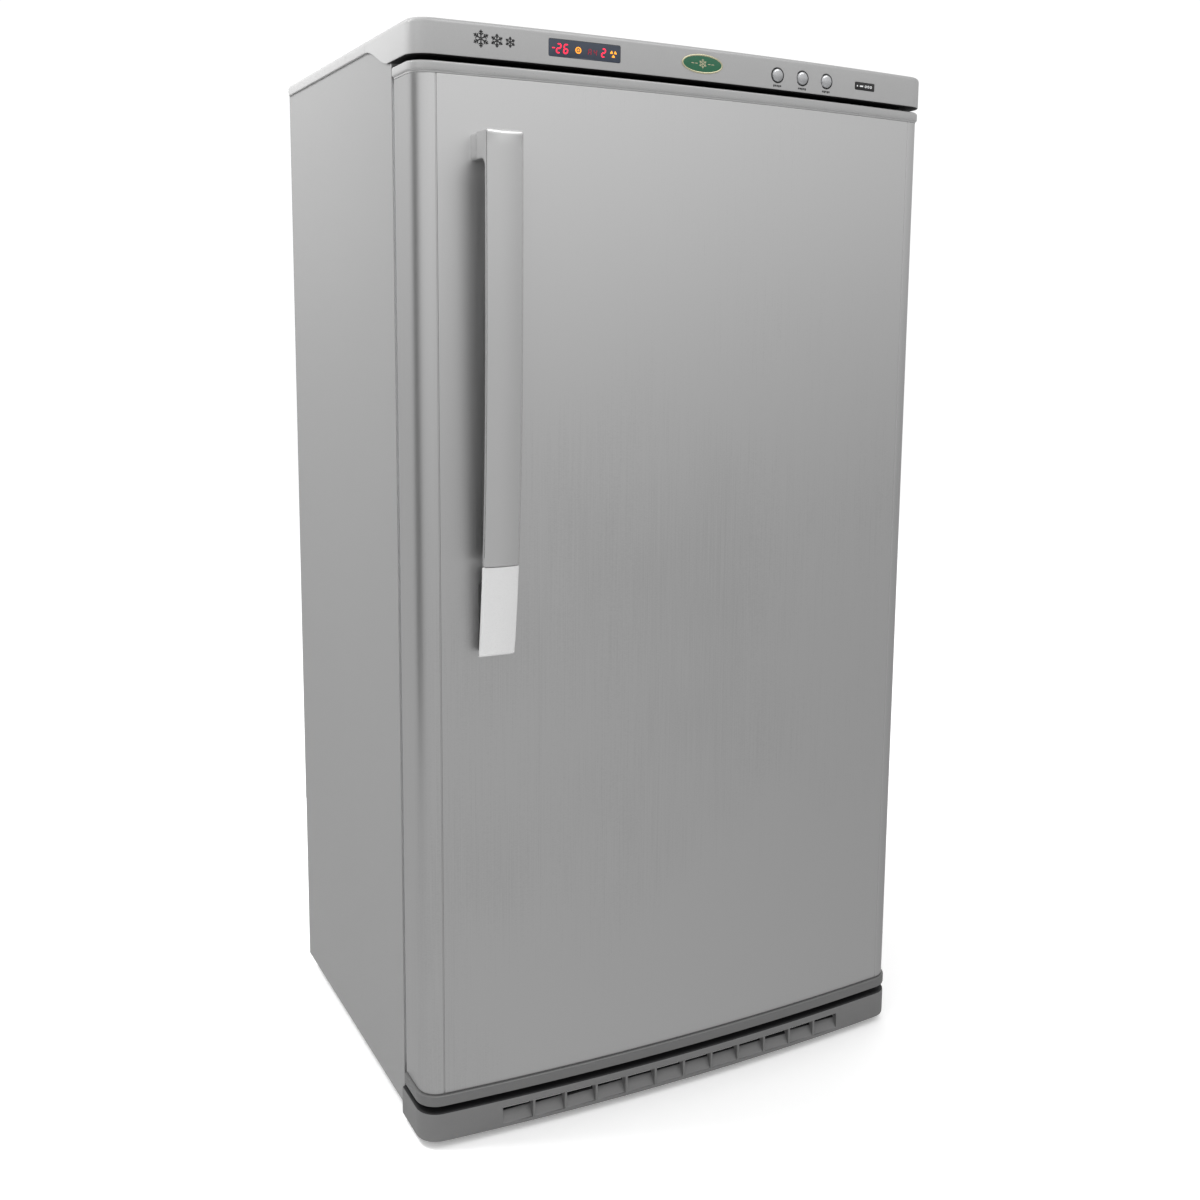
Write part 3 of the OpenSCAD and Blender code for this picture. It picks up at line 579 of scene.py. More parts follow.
def door_liner():
    z0, z1 = SK0, SK1
    pz0, pz1 = 96.0, CAP0 - 58.0
    bm = bmesh.new()

    def ring(hx, a, b, y, r):
        return [P(u, y, v) for u, v in rrect(-hx, hx, a, b, r, 6)]
    rings = [ring(296.2, z0 + 0.2, z1 - 0.2, 56.0, 1.0), ring(296.2, z0 + 0.2, z1 - 0.2, 57.6, 1.0), ring(295.6, z0 + 0.8, z1 - 0.8, 58.0, 1.0), ring(258, z0 + 34, z1 - 30, 58.0, 8),
             ring(256, z0 + 35.5, z1 - 32, 57.4, 8), ring(242, pz0 - 1, pz1 + 1, 57.6, 12)]
    for i in range(0, 5):
        a = math.pi / 2 * i / 4
        rings.append(ring(239 - 2 * math.sin(a) - i * 0.4, pz0 + 1 + i * 0.6, pz1 - 1 - i * 0.6, 58.5 + 0.6 * i, 14))
    rings.append(ring(235, pz0 + 4, pz1 - 4, 68.5, 16))
    for i in range(1, 6):
        a = math.pi / 2 * i / 5
        rings.append(ring(235 - 4.5 * (1 - math.cos(a)), pz0 + 4 + 4.5 * (1 - math.cos(a)), pz1 - 4 - 4.5 * (1 - math.cos(a)),
                          69.5 + 4.5 * math.sin(a), 16))
    rings += [ring(216, pz0 + 24, pz1 - 24, 74.0, 12), ring(214.5, pz0 + 25.5, pz1 - 25.5, 73.6, 11),
              ring(212, pz0 + 29, pz1 - 29, 70.2, 10), ring(210.5, pz0 + 30.5, pz1 - 30.5, 69.6, 9)]
    add_loft(bm, rings, caps=False)
    bm.verts.ensure_lookup_table()
    n = len(rings[0])
    total = len(bm.verts)
    # closed by the flat back and by the sunk middle panel
    bm.faces.new(bm.verts[0:n])
    bm.faces.new(bm.verts[total - n:total])
    tidy_caps(bm)
    o = piece("door_inner_liner", bm, "liner_white", "door", ["door_liner"], sharp=35)
    # pressed ribs across the sunk panel
    bm = bmesh.new()
    for k in range(5):
        zc = pz0 + 110 + k * ((pz1 - pz0) - 220) / 4
        prof = rrect(-196, 196, zc - 9, zc + 9, 8.9, 6)
        prism(bm, prof, 68.0, 73.4, lambda u, v, w: P(u, w, v), fillet=2.6, steps=4)
    piece("door_liner_ribs", bm, "liner_white", "door", sharp=50)


def gasket():
    # bellows section: (outward offset from the middle of the strip, y)
    prof = [(-9.0, 58.0), (-9.4, 59.2), (-8.2, 60.4), (-9.2, 61.6), (-9.8, 62.8), (-9.4, 64.3), (-8.0, 65.4), (-5.0, 65.7), (5.0, 65.7),
            (8.0, 65.4), (9.4, 64.3), (9.8, 62.8), (9.2, 61.6), (8.2, 60.4), (9.4, 59.2), (9.0, 58.0), (5.5, 58.0), (3.0, 59.4), (-3.0, 59.4),
            (-5.5, 58.0)]
    zc0, zc1 = 75.0, SK1 - 12.5
    rings = []
    for d, y in prof:
        rings.append([P(u, y, v) for u, v in rrect(-269.5 - d, 269.5 + d, zc0 - d, zc1 + d, 14 + d, 8)])
    bm = bmesh.new()
    add_loft(bm, rings, caps=False, wrap=True)
    piece("door_seal", bm, "gasket_grey", "door", ["door_gasket"], sharp=55)


# ------------------------------------------------------------------ handle
def bar_x(bm, poly_fn, x0, x1, f=2.0, crown=2.2, steps=4, nx=14, mat=0):
    """Skins a side outline across the handle's width, with rounded edges and a crowned front."""
    st = []
    for i in range(steps + 1):
        a = math.pi / 2 * i / steps
        st.append((x0 + f * (1 - math.cos(a)), f * (1 - math.sin(a))))
    for i in range(1, nx):
        st.append((x0 + f + (x1 - x0 - 2 * f) * i / nx, 0.0))
    for i in range(steps, -1, -1):
        a = math.pi / 2 * i / steps
        st.append((x1 - f * (1 - math.cos(a)), f * (1 - math.sin(a))))
    base, front = poly_fn()
    rings = []
    for x, d in st:
        pts = offset_poly(base, d) if d > 0 else base
        u = 2 * (x - (x0 + x1) / 2) / (x1 - x0)
        back = crown * u * u
        rings.append([P(x, y + (back * w), z) for (y, z), w in zip(pts, front)])
    add_loft(bm, rings, mat=mat)
    tidy_caps(bm)


def handle():
    def bar():
        pts, w = [], []
        n = 40
        for i in range(n + 1):
            z = HZE + 0.4 + (HZ1 - 5.0 - HZE - 0.4) * i / n
            pts.append((HS - reach(z), z))
            w.append(1.0)
        for i in range(1, 7):
            a = math.pi / 2 * i / 6
            pts.append((HS - 43 + 5 * (1 - math.cos(a)), HZ1 - 5 + 5 * math.sin(a)))
            w.append(1.0 - i / 6)
        pts.append((HS - 24, HZ1))
        w.append(0.0)
        for zc, a0 in ((HZ1 - 2.4, 90), (HZ1 - 26 + 2.4, 0)):
            for i in range(5):
                a = math.radians(a0 - 90 * i / 4)
                pts.append((HS - 16.4 + 2.4 * math.cos(a), zc + 2.4 * math.sin(a)))
                w.append(0.0)
        for i in range(0, 7):
            a = math.pi / 2 * i / 6
            pts.append((HS - 35 + 9 - 9 * math.sin(a), HZ1 - 26 - 9 + 9 * math.cos(a)))
            w.append(0.0)
        for i in range(1, n + 1):
            z = HZ1 - 35 + (HZE + 0.4 - (HZ1 - 35)) * i / n
            pts.append((HS - reach(z) + 8, z))
            w.append(0.0)
        return pts, w
    bm = bmesh.new()
    bar_x(bm, bar, HX0, HX1, f=1.6, crown=2.6)
    o = piece("handle_grip", bm, "handle_steel", "door", ["handle_bar"], sharp=42, mats=["handle_steel", "handle_base"])
    for f in o.data.polygons:
        # the inner side of the grip is painted near-black as painted shade, darkening the gap behind the grip and its
        # reflection in the door
        if f.normal.y > 0.6 and f.center.z * 1000 < HZ1 - 30 and abs(f.center.x * 1000 - HCX) < 16.9:
            f.material_index = 1

    def tip():
        pts, w = [], []
        n = 12
        # curved lower edge, turned in towards the door
        for i in range(0, 7):
            a = math.pi / 2 * i / 6
            pts.append((HS - reach(HZ0) + 8 - 8 * math.sin(a), HZ0 + 6 - 6 * math.cos(a)))
            w.append(i / 6)
        for i in range(1, n + 1):
            z = HZ0 + 6 + (HZE - 0.4 - HZ0 - 6) * i / n
            pts.append((HS - reach(z), z))
            w.append(1.0)
        for i in range(0, n + 1):
            z = HZE - 0.4 - (HZE - 0.4 - HZ0 - 4) * i / n
            pts.append((HS - reach(z) + 8, z))
            w.append(0.0)
        return pts, w
    bm = bmesh.new()
    bar_x(bm, tip, HX0, HX1, f=1.6, crown=2.6)
    piece("handle_tip", bm, "handle_pale", "door", ["handle_end_piece"], sharp=42)

    def base():
        pts = [(HS - reach(HZ0) + 5, HZ0 + 4), (HS - 9, HZ0 + 2.5), (HS + 1.5, HZ0 + 2.2), (HS + 1.5, HZE - 22), (HS - 6, HZE - 19),
               (HS - 16, HZE - 11), (HS - reach(HZE) + 6, HZE - 6)]
        return pts, [0.0] * len(pts)
    # the base under the tip is painted near-black as painted shade for the shadowed recess under the grip
    bm = bmesh.new()
    bar_x(bm, base, HX0 + 6, HX1 - 6, f=1.2, crown=0.0, nx=4)
    piece("handle_tip_base", bm, "handle_base", "door", sharp=42)

    # mounting block between the grip and the steel; its back follows the bowed skin
    bm = bmesh.new()
    rings = []
    x0, x1, z0, z1 = HX0 + 0.6, HX1 - 0.6, HZ1 - 25.4, HZ1 - 0.6
    for y, d in ((HS - 14.0, 1.2), (HS - 13.65, 0.4), (HS - 12.8, 0.0), (HS - 6, 0.0), (HS - 2.0, 0.0)):
        rings.append([P(u, y, v) for u, v in rrect(x0 + d, x1 - d, z0 + d, z1 - d, 3.0, 5)])
    rings.append([P(u, fy(u, SKIN) + 0.3, v) for u, v in rrect(x0 - 0.3, x1 + 0.3, z0 - 0.3, z1 + 0.3, 3.2, 5)])
    add_loft(bm, rings)
    tidy_caps(bm)
    piece("handle_base_block", bm, "handle_steel", "door", ["handle_mount"], sharp=40)


# ------------------------------------------------------------------ head cap, lid
def cap_edge(n=24):
    out = []
    for i in range(n + 1):
        u = i / n
        out.append((CAB_Y + (LIDY - CAB_Y) * u, CAP0 + (LID0 - CAP0) * u * u * (3 - 2 * u)))
    return out


def slab_yz(poly, x0, x1):
    bm = bmesh.new()
    add_loft(bm, [[P(x, y, z) for y, z in poly] for x in (x0, x1)])
    tidy_caps(bm)
    return solid(bm)


def box_solid(x0, x1, y0, y1, z0, z1):
    bm = bmesh.new()
    add_loft(bm, [[P(x0, y0, z), P(x1, y0, z), P(x1, y1, z), P(x0, y1, z)] for z in (z0, z1)])
    return solid(bm)


def head_cap():
    bm = bmesh.new()
    st = fillet_rings(CAP0, CAP1, 0.0, 1.4, 4.5, 6)
    add_loft(bm, [outline(t, z, LIDY - 0.15) for t, z in st])
    tidy_caps(bm)
    o = solid(bm)
    side = [(-40.0, CAP0 - 5), (CAB_Y, CAP0 - 5)] + cap_edge() + [(LIDY + 5, LID0), (LIDY + 5, CAP1 + 10), (-40.0, CAP1 + 10)]
    o = boolean(o, slab_yz(side, -HW - 20, HW + 20), "INTERSECT")
    # hollow inside, open to the back and under the rear half
    bm = bmesh.new()
    add_loft(bm, [outline(3.5, z, LIDY + 6) for z in (CAP0 + 3, CAP1 - 3)])
    tidy_caps(bm)
    o = boolean(o, solid(bm))
    o = boolean(o, box_solid(-HW + 3.5, HW - 3.5, CAB_Y, LIDY + 6, CAP0 - 3, CAP0 + 4))
    for name in ("button_left", "button_middle", "button_right"):
        lo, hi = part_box(name)
        xc = (lo.x + hi.x) * 500
        o = boolean(o, cyl_y(xc, PANEL - 2, -30, 3, 7.15))
    o = boolean(o, hole_cyl(AX, AY, CAP0 - 3, CAP0 + 6, 7.0))
    for x0, x1, z0, z1, r in ((-167.25, -91.75, PANEL - 8.4, PANEL + 8.4, 1.8), (194.8, 222.7, PANEL - 6.2, PANEL + 2.2, 1.3)):
        bm = bmesh.new()
        bow_window(bm, x0, x1, z0, z1, -2.0, 1.5, r=r, edge=0.1)
        o = boolean(o, solid(bm))
    # the cap's underside over the door gap is painted near-black as painted shade
    paint_gap_shade(finish_solid(o, "cap_front", "cap_plastic", "cabinet", ["head_cap"], sharp=38, mats=["cap_plastic", "painted_recess_shade"]), -1, CAP0)


def lid():
    bm = bmesh.new()
    rings = []
    x0, x1, y0, y1 = -HW, HW, LIDY + 0.15, REAR + 4
    for t, z in fillet_rings(LID0, CAP1, 0.0, 1.0, 4.5, 6):
        pts = []
        # square towards the cap, rounded at the back corners
        r = 10.0
        for cx, cy, a0 in ((x1 - r, y1 - r, 0), (x0 + r, y1 - r, 90)):
            for i in range(9):
                a = math.radians(a0 + 90 * i / 8)
                pts.append((cx + (r - t) * math.cos(a), cy + (r - t) * math.sin(a)))
        pts.append((x0 + t, y0))
        pts.append((x1 - t, y0))
        rings.append([P(u, v, z) for u, v in pts])
    add_loft(bm, rings)
    tidy_caps(bm)
    o = solid(bm)
    o = boolean(o, box_solid(-HW + 3.5, HW - 3.5, LIDY - 5, REAR + 0.6, LID0 - 3, CAP1 - 3))
    finish_solid(o, "lid_panel", "cap_plastic", "cabinet", ["top_lid"], sharp=38)


# ------------------------------------------------------------------ controls
def digit(bm, pattern, x, z, w=5.0, h=9.4, s=1.2, mat=0):
    """A seven-segment figure with a slight lean; pattern holds the lit segments."""
    g = 0.16
    a, b = w - s, h / 2 - s / 2

    def seg_h(cx, cz, l):
        return [(cx - l / 2 + g, cz), (cx - l / 2 + s / 2 + g, cz + s / 2), (cx + l / 2 - s / 2 - g, cz + s / 2), (cx + l / 2 - g, cz),
                (cx + l / 2 - s / 2 - g, cz - s / 2), (cx - l / 2 + s / 2 + g, cz - s / 2)]

    def seg_v(cx, cz, l):
        return [(cx, cz - l / 2 + g), (cx + s / 2, cz - l / 2 + s / 2 + g), (cx + s / 2, cz + l / 2 - s / 2 - g), (cx, cz + l / 2 - g),
                (cx - s / 2, cz + l / 2 - s / 2 - g), (cx - s / 2, cz - l / 2 + s / 2 + g)]
    parts = {"a": seg_h(0, b, a), "g": seg_h(0, 0, a), "d": seg_h(0, -b, a), "f": seg_v(-a / 2, b / 2, b), "b": seg_v(a / 2, b / 2, b),
             "e": seg_v(-a / 2, -b / 2, b), "c": seg_v(a / 2, -b / 2, b)}
    for k in pattern:
        poly = [(x + u + v * 0.12, z + v) for u, v in parts[k]]
        on_bow(bm, poly, 0.08, 0.35, mat)


def ring_poly(bm, x, z, r0, r1, t0, t1, n=24, mat=0):
    rings = []
    for r, t in ((r0, t1), (r0, t0), (r1, t0), (r1, t1)):
        rings.append([P(x + r * math.cos(2 * math.pi * i / n), fy(x, t), z + r * math.sin(2 * math.pi * i / n)) for i in range(n)])
    add_loft(bm, rings, caps=False, wrap=True, mat=mat)


def snowflake(bm, x, z, r, w, t0, t1, arms=6, mat=0):
    for k in range(arms):
        a = math.pi / 2 + 2 * math.pi * k / arms

        def put(u, v):
            return (x + u * math.cos(a) - v * math.sin(a), z + u * math.sin(a) + v * math.cos(a))
        on_bow(bm, [put(r * 0.04, -w / 2), put(r, -w / 2), put(r, w / 2), put(r * 0.04, w / 2)], t0, t1, mat)
        for s in (-1, 1):
            for f in (0.45, 0.70):
                l = r * (0.34 if f < 0.5 else 0.24)
                dx, dy = math.cos(math.radians(55)) * l, s * math.sin(math.radians(55)) * l
                nx_, ny_ = -s * math.sin(math.radians(55)) * w * 0.45, math.cos(math.radians(55)) * w * 0.45
                b0 = (r * f, 0.0)
                on_bow(bm, [put(b0[0] - nx_, b0[1] - ny_), put(b0[0] + dx - nx_, b0[1] + dy - ny_),
                            put(b0[0] + dx + nx_, b0[1] + dy + ny_), put(b0[0] + nx_, b0[1] + ny_)], t0 + 0.004 * s, t1, mat)


def controls():
    # display window with its figures
    bm = bmesh.new()
    bow_window(bm, -167, -92, PANEL - 8.15, PANEL + 8.15, 0.2, 1.5, r=1.6, edge=0.35)
    piece("display_pane", bm, "window_dark", "cabinet", ["display_window"], sharp=30)
    bm = bmesh.new()
    digit(bm, "abged", -156.8, PANEL - 0.3)
    digit(bm, "afgedc", -149.4, PANEL - 0.3)
    digit(bm, "abged", -110.0, PANEL - 0.3, w=4.6, h=8.6)
    on_bow(bm, [(-163.5, PANEL - 0.7), (-160.6, PANEL - 0.7), (-160.6, PANEL + 0.2), (-163.5, PANEL + 0.2)], 0.08, 0.35)
    piece("display_figures", bm, "led_red", "cabinet", sharp=30)
    bm = bmesh.new()
    ring_poly(bm, -136.5, PANEL - 0.3, 2.1, 3.1, 0.08, 0.35)
    ring_poly(bm, -136.5, PANEL - 0.3, 0.4, 1.0, 0.08, 0.35, n=16)
    for k in range(3):
        a = math.pi * 2 / 3 * k + 0.5
        cx, cz = -99.5, PANEL - 0.3
        pts = [(cx + 0.6 * math.cos(a), cz + 0.6 * math.sin(a))]
        for i in range(6):
            b = a - 0.55 + 1.1 * i / 5
            pts.append((cx + 3.4 * math.cos(b), cz + 3.4 * math.sin(b)))
        on_bow(bm, pts, 0.08, 0.35)
    piece("display_symbols", bm, "led_amber", "cabinet", sharp=30)
    bm = bmesh.new()
    digit(bm, "abcefg", -124.5, PANEL - 0.9, w=3.6, h=6.2, s=0.8)
    digit(bm, "bcfg", -118.8, PANEL - 0.9, w=3.6, h=6.2, s=0.8)
    piece("display_dim_figures", bm, "led_dim", "cabinet", sharp=30)
    # indicator window with three marks
    bm = bmesh.new()
    bow_window(bm, 195, 222.5, PANEL - 6, PANEL + 2, -0.2, 1.0, r=1.2, edge=0.35, nx=8)
    piece("indicator_pane", bm, "window_black", "cabinet", ["indicator_window"], sharp=30)
    bm = bmesh.new()
    zc = PANEL - 2
    for x0, x1 in ((197.5, 199.0), (201.8, 206.3)):
        on_bow(bm, [(x0, zc - 0.7), (x1, zc - 0.7), (x1, zc + 0.7), (x0, zc + 0.7)], -0.32, 0.1)
    for i in range(3):
        ring_poly(bm, 210.0 + i * 3.7, zc, 0.75, 1.35, -0.32, 0.1, n=16)
    piece("indicator_marks", bm, "ink_white", "cabinet", sharp=30)
    # oval badge: domed field inside a bright rim, left blank
    bm = bmesh.new()
    prof = [(0.0, 0.7, 1.0), (0.0, 0.5, 1.0), (0.0, -0.15, 1.0), (0.25, -0.35, 1.0)]
    n = 64
    rings = []
    for d, t in ((0.0, 0.95), (0.0, -0.35), (0.35, -0.72), (0.9, -0.86), (1.5, -0.72), (1.75, -0.45), (1.75, 0.95)):
        rings.append([P((24 - d) * math.cos(2 * math.pi * i / n), fy((24 - d) * math.cos(2 * math.pi * i / n), t),
                        PANEL + (9.5 - d) * math.sin(2 * math.pi * i / n)) for i in range(n)])
    add_loft(bm, rings, caps=False, wrap=True)
    piece("badge_edge", bm, "badge_rim", "cabinet", ["badge"], sharp=40)
    bm = bmesh.new()
    rings = []
    for d, t in ((1.7, 0.9), (1.7, -0.45), (3.2, -0.56), (5.5, -0.66), (8.2, -0.72)):
        rings.append([P((24 - d) * math.cos(2 * math.pi * i / n), fy((24 - d) * math.cos(2 * math.pi * i / n), t),
                        PANEL + (9.5 - d) * math.sin(2 * math.pi * i / n)) for i in range(n)])
    add_loft(bm, rings)
    tidy_caps(bm)
    piece("badge_field", bm, "badge_green", "cabinet", sharp=40)
    bm = bmesh.new()
    snowflake(bm, 0.0, PANEL + 0.2, 4.6, 0.55, -0.84, -0.5)
    for s in (-1, 1):
        for k in range(2):
            x0 = s * (7.5 + k * 4.2)
            on_bow(bm, [(x0 - 1.5, PANEL - 0.25), (x0 + 1.5, PANEL - 0.25), (x0 + 1.5, PANEL + 0.45), (x0 - 1.5, PANEL + 0.45)], -0.80, -0.5)
    piece("badge_mark", bm, "badge_rim", "cabinet", sharp=30)
    # frost marks printed on the cap
    bm = bmesh.new()
    snowflake(bm, -234.0, PANEL + 1.0, 8.0, 1.15, -0.12, 0.3)
    snowflake(bm, -218.5, PANEL + 0.6, 6.2, 1.0, -0.12, 0.3)
    snowflake(bm, -205.5, PANEL + 0.4, 5.0, 0.9, -0.12, 0.3)
    piece("frost_marks", bm, "ink_black", "cabinet", sharp=30)
    # a small printed mark under each button
    bm = bmesh.new()
    z = PANEL - 12.6
    for k, name in enumerate(("button_left", "button_middle", "button_right")):
        lo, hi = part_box(name)
        xc = (lo.x + hi.x) * 500
        for i in range(-2, 3):
            hgt = (0.9, 1.3, 0.7, 1.3, 0.9)[(i + k) % 5]
            on_bow(bm, [(xc + i * 2.1 - 0.75, z - hgt), (xc + i * 2.1 + 0.75, z - hgt), (xc + i * 2.1 + 0.75, z + 0.9),
                        (xc + i * 2.1 - 0.75, z + 0.9)], -0.10, 0.3)
    piece("button_marks", bm, "ink_black", "cabinet", sharp=30)
    # dark rings round the buttons
    bm = bmesh.new()
    for name in ("button_left", "button_middle", "button_right"):
        lo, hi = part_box(name)
        xc = (lo.x + hi.x) * 500
        ring_poly(bm, xc, PANEL - 2, 7.15, 7.95, -0.25, 0.8, n=48)
    piece("button_rings", bm, "handle_base", "cabinet", sharp=40)
    for name in ("button_left", "button_middle", "button_right"):
        lo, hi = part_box(name)
        xc = (lo.x + hi.x) * 500
        yf = fy(xc)
        bm = bmesh.new()
        prof = [(0, yf - 2.75), (1.8, yf - 2.70), (3.4, yf - 2.52), (4.8, yf - 2.18), (5.7, yf - 1.75), (6.3, yf - 1.15), (6.65, yf - 0.4), (6.75, yf + 0.6),
                (6.75, yf + 5.5), (8.4, yf + 5.6), (8.5, yf + 5.9), (8.5, yf + 6.8), (8.3, yf + 7.0), (2.5, yf + 7.1), (2.4, 4.1), (0, 4.2)]
        lathe(bm, prof, lambda a, b, h, xc=xc: P(xc + a, h, PANEL - 2 + b), n=48)
        piece(name + "_cap", bm, "button_chrome", name, [name], sharp=40)


# ------------------------------------------------------------------ plinth
def plinth():
    bm = bmesh.new()
    st = fillet_rings(8.0, 40.0, 0.0, 2.0, 3.0, 5)
    add_loft(bm, [outline(t, z, CAB_Y) for t, z in st])
    tidy_caps(bm)
    o = solid(bm)
    # hollow: the outline inset by 3 and shifted back, as in the frame
    bm = bmesh.new()
    add_loft(bm, [[p + Vector((0, 0.008, 0)) for p in outline(3.4, z, CAB_Y)] for z in (4.0, 37.0)])
    tidy_caps(bm)
    o = boolean(o, solid(bm))
    nv, pitch = 12, 36.0
    for i in range(nv):
        x = (i - (nv - 1) / 2) * pitch
        yf = fy(x)
        # a scoop that slopes back and up into an open slot
        w = pitch / 2 - 1.25
        prof = [(yf - 6, 12.7), (yf + 0.6, 12.7), (yf + 2.0, 14.0), (yf + 7.0, 22.6), (yf + 8.2, 23.5), (yf + 16, 23.5), (yf + 16, 31.5), (yf - 6, 31.5)]
        vb = bmesh.new()
        add_loft(vb, [[P(x - w, y, z) for y, z in prof], [P(x + w, y, z) for y, z in prof]])
        tidy_caps(vb)
        o = boolean(o, solid(vb))
    o = finish_solid(o, "plinth_grille", "plinth_plastic", "cabinet", ["plinth"], sharp=34, mats=["plinth_plastic", "painted_recess_shade"])
    # the plinth's top face, in the gap under the door, is painted near-black as painted shade
    paint_gap_shade(o, 1, max(v.co.z for v in o.data.vertices) * 1000)
    # faces deep inside the slots and the hollow are painted near-black as painted shade
    for f in o.data.polygons:
        c = f.center
        x, y, z = c.x * 1000, c.y * 1000 - Y0, c.z * 1000
        if abs(x) < 222 and y > fy(abs(x)) + 7.6 and 8.5 < z < 37.5 and not (abs(f.normal.z) > 0.5 and z > 39):
            f.material_index = 1


# ------------------------------------------------------------------ rear panel
def rear_panel():
    z0, z1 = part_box("rear_panel")[0].z * 1000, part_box("rear_panel")[1].z * 1000
    y = REAR
    xs = []
    nx, nz = 64, 108

    def height(x, z):
        # three pressed frames and a raised border
        h = 0.0
        for a, b in ((z0 + 30, z0 + 290), (z0 + 320, z0 + 570), (z0 + 600, z1 - 30)):
            dx, dz = 262 - abs(x), min(z - a, b - z)
            d = min(dx, dz)
            if d > 0:
                h = max(h, 2.2 * min(1.0, d / 6.0) - 2.2 * max(0.0, min(1.0, (d - 12) / 6.0)))
        return h
    bm = bmesh.new()
    gx = sorted(set([-297.5 + 595.0 * i / nx for i in range(nx + 1)] + [s * v for s in (-1, 1) for v in (262, 256, 250, 244)]))
    gz = set([z0 + (z1 - z0) * i / nz for i in range(nz + 1)])
    for a, b in ((z0 + 30, z0 + 290), (z0 + 320, z0 + 570), (z0 + 600, z1 - 30)):
        for d in (0, 6, 12, 18):
            gz.add(a + d)
            gz.add(b - d)
    gz = sorted(gz)
    top = [[bm.verts.new(P(x, y + 1.0 + height(x, z), z)) for x in gx] for z in gz]
    bot = [[bm.verts.new(P(x, y, z)) for x in gx] for z in gz]
    for k in range(len(gz) - 1):
        for i in range(len(gx) - 1):
            bm.faces.new((top[k][i], top[k][i + 1], top[k + 1][i + 1], top[k + 1][i]))
            bm.faces.new((bot[k][i], bot[k + 1][i], bot[k + 1][i + 1], bot[k][i + 1]))
    for i in range(len(gx) - 1):
        for k in (0, len(gz) - 1):
            bm.faces.new((top[k][i], bot[k][i], bot[k][i + 1], top[k][i + 1]))
    for k in range(len(gz) - 1):
        for i in (0, len(gx) - 1):
            bm.faces.new((top[k][i], top[k + 1][i], bot[k + 1][i], bot[k][i]))
    piece("back_sheet", bm, "galvanised", "cabinet", ["rear_panel"], sharp=30)


# ------------------------------------------------------------------ inside
def drawers():
    for i in range(1, 5):
        name = "drawer_%d" % i
        lo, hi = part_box(name)
        z0, ztop = lo.z * 1000, hi.z * 1000
        z1 = ztop - 4
        yb = hi.y * 1000 - Y0
        bm = bmesh.new()

        def ring(d, z, taper, r):
            return [P(u, v, z) for u, v in rrect(-234 + d + taper, 234 - d - taper, 103.6 + d * 0.4, yb - d - taper, r, 6)]
        rings = []
        # outside, from the floor to the rim
        for k in range(5):
            a = math.pi / 2 * k / 4
            rings.append(ring(7 * (1 - math.sin(a)), z0 + 7 * (1 - math.cos(a)), 4.0, 16))
        rings.append(ring(0, z1 - 12, 0.6, 16))
        rings.append(ring(0, z1 - 8, 0.2, 16))
        rings.append(ring(0, z1 - 1.2, 0.0, 16))
        rings.append(ring(0.5, z1 - 0.3, 0.0, 16))
        rings.append(ring(1.2, z1, 0.0, 16))
        rings.append(ring(2.0, z1 - 0.3, 0.0, 15))
        # inside, from the rim to the floor
        rings.append(ring(2.6, z1 - 1.2, 0.0, 14))
        rings.append(ring(2.6, z1 - 12, 0.6, 14))
        for k in range(4, -1, -1):
            a = math.pi / 2 * k / 4
            rings.append(ring(2.6 + 7 * (1 - math.sin(a)), z0 + 2.6 + 7 * (1 - math.cos(a)), 4.0, 14))
        add_loft(bm, rings)
        tidy_caps(bm)
        piece(name + "_tub", bm, "drawer_clear", name, [name], sharp=40)
        # front panel with rounded edges, a raised frame and its pull
        bm = bmesh.new()
        prism(bm, rrect(-238, 238, z0 + 0.2, ztop, 6, 5), 100.0, 103.9, lambda u, v, w: P(u, w, v), fillet=1.6, steps=4)
        lip = [(101.2, z1 - 3.6), (93.0, z1 - 3.6), (90.6, z1 - 4.6), (89.2, z1 - 7.0), (89.0, z1 - 9.0), (89.0, z1 - 24.6), (89.5, z1 - 25.7),
               (90.4, z1 - 26.0), (91.2, z1 - 25.6), (91.6, z1 - 24.6), (91.7, z1 - 11.0), (92.4, z1 - 8.8), (94.2, z1 - 7.6), (101.2, z1 - 7.2)]
        prism(bm, lip, -95, 95, lambda u, v, w: P(w, u, v), fillet=0.9, steps=3)
        piece(name + "_front", bm, "drawer_front", name, sharp=40)
        # raised border on the front panel
        bm = bmesh.new()
        rs = []
        for d, y in ((9, 100.3), (10, 99.2), (12.5, 99.2), (13.5, 100.3)):
            rs.append([P(u, y, v) for u, v in rrect(-238 + d, 238 - d, z0 + d, z1 - 32 if False else ztop - d, 5, 5)])
        add_loft(bm, rs, caps=False, wrap=True)
        piece(name + "_border", bm, "drawer_front", name, sharp=40)


def shelves():
    for name in ("shelf_lower", "shelf_middle", "shelf_upper"):
        lo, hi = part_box(name)
        x0, x1, y0, y1 = lo.x * 1000, hi.x * 1000, lo.y * 1000 - Y0, hi.y * 1000 - Y0
        z0, z1 = lo.z * 1000, hi.z * 1000
        bm = bmesh.new()
        rbox(bm, x0, x1, y0 + 9, y1, z0 + 0.2, z1 - 0.2, r=0.7, corner=3)
        piece(name + "_pane", bm, "shelf_glass", "cabinet", [name], sharp=40)
        bm = bmesh.new()
        rbox(bm, x0 + 0.3, x1 - 0.3, y0, y0 + 10.5, z0, z1, r=1.4, corner=2)
        piece(name + "_trim", bm, "liner_white", "cabinet", sharp=40)


# ------------------------------------------------------------------ build
door_skin()
door_core()
door_trims()
door_liner()
gasket()
handle()
head_cap()
lid()
controls()
plinth()
rear_panel()
drawers()
shelves()

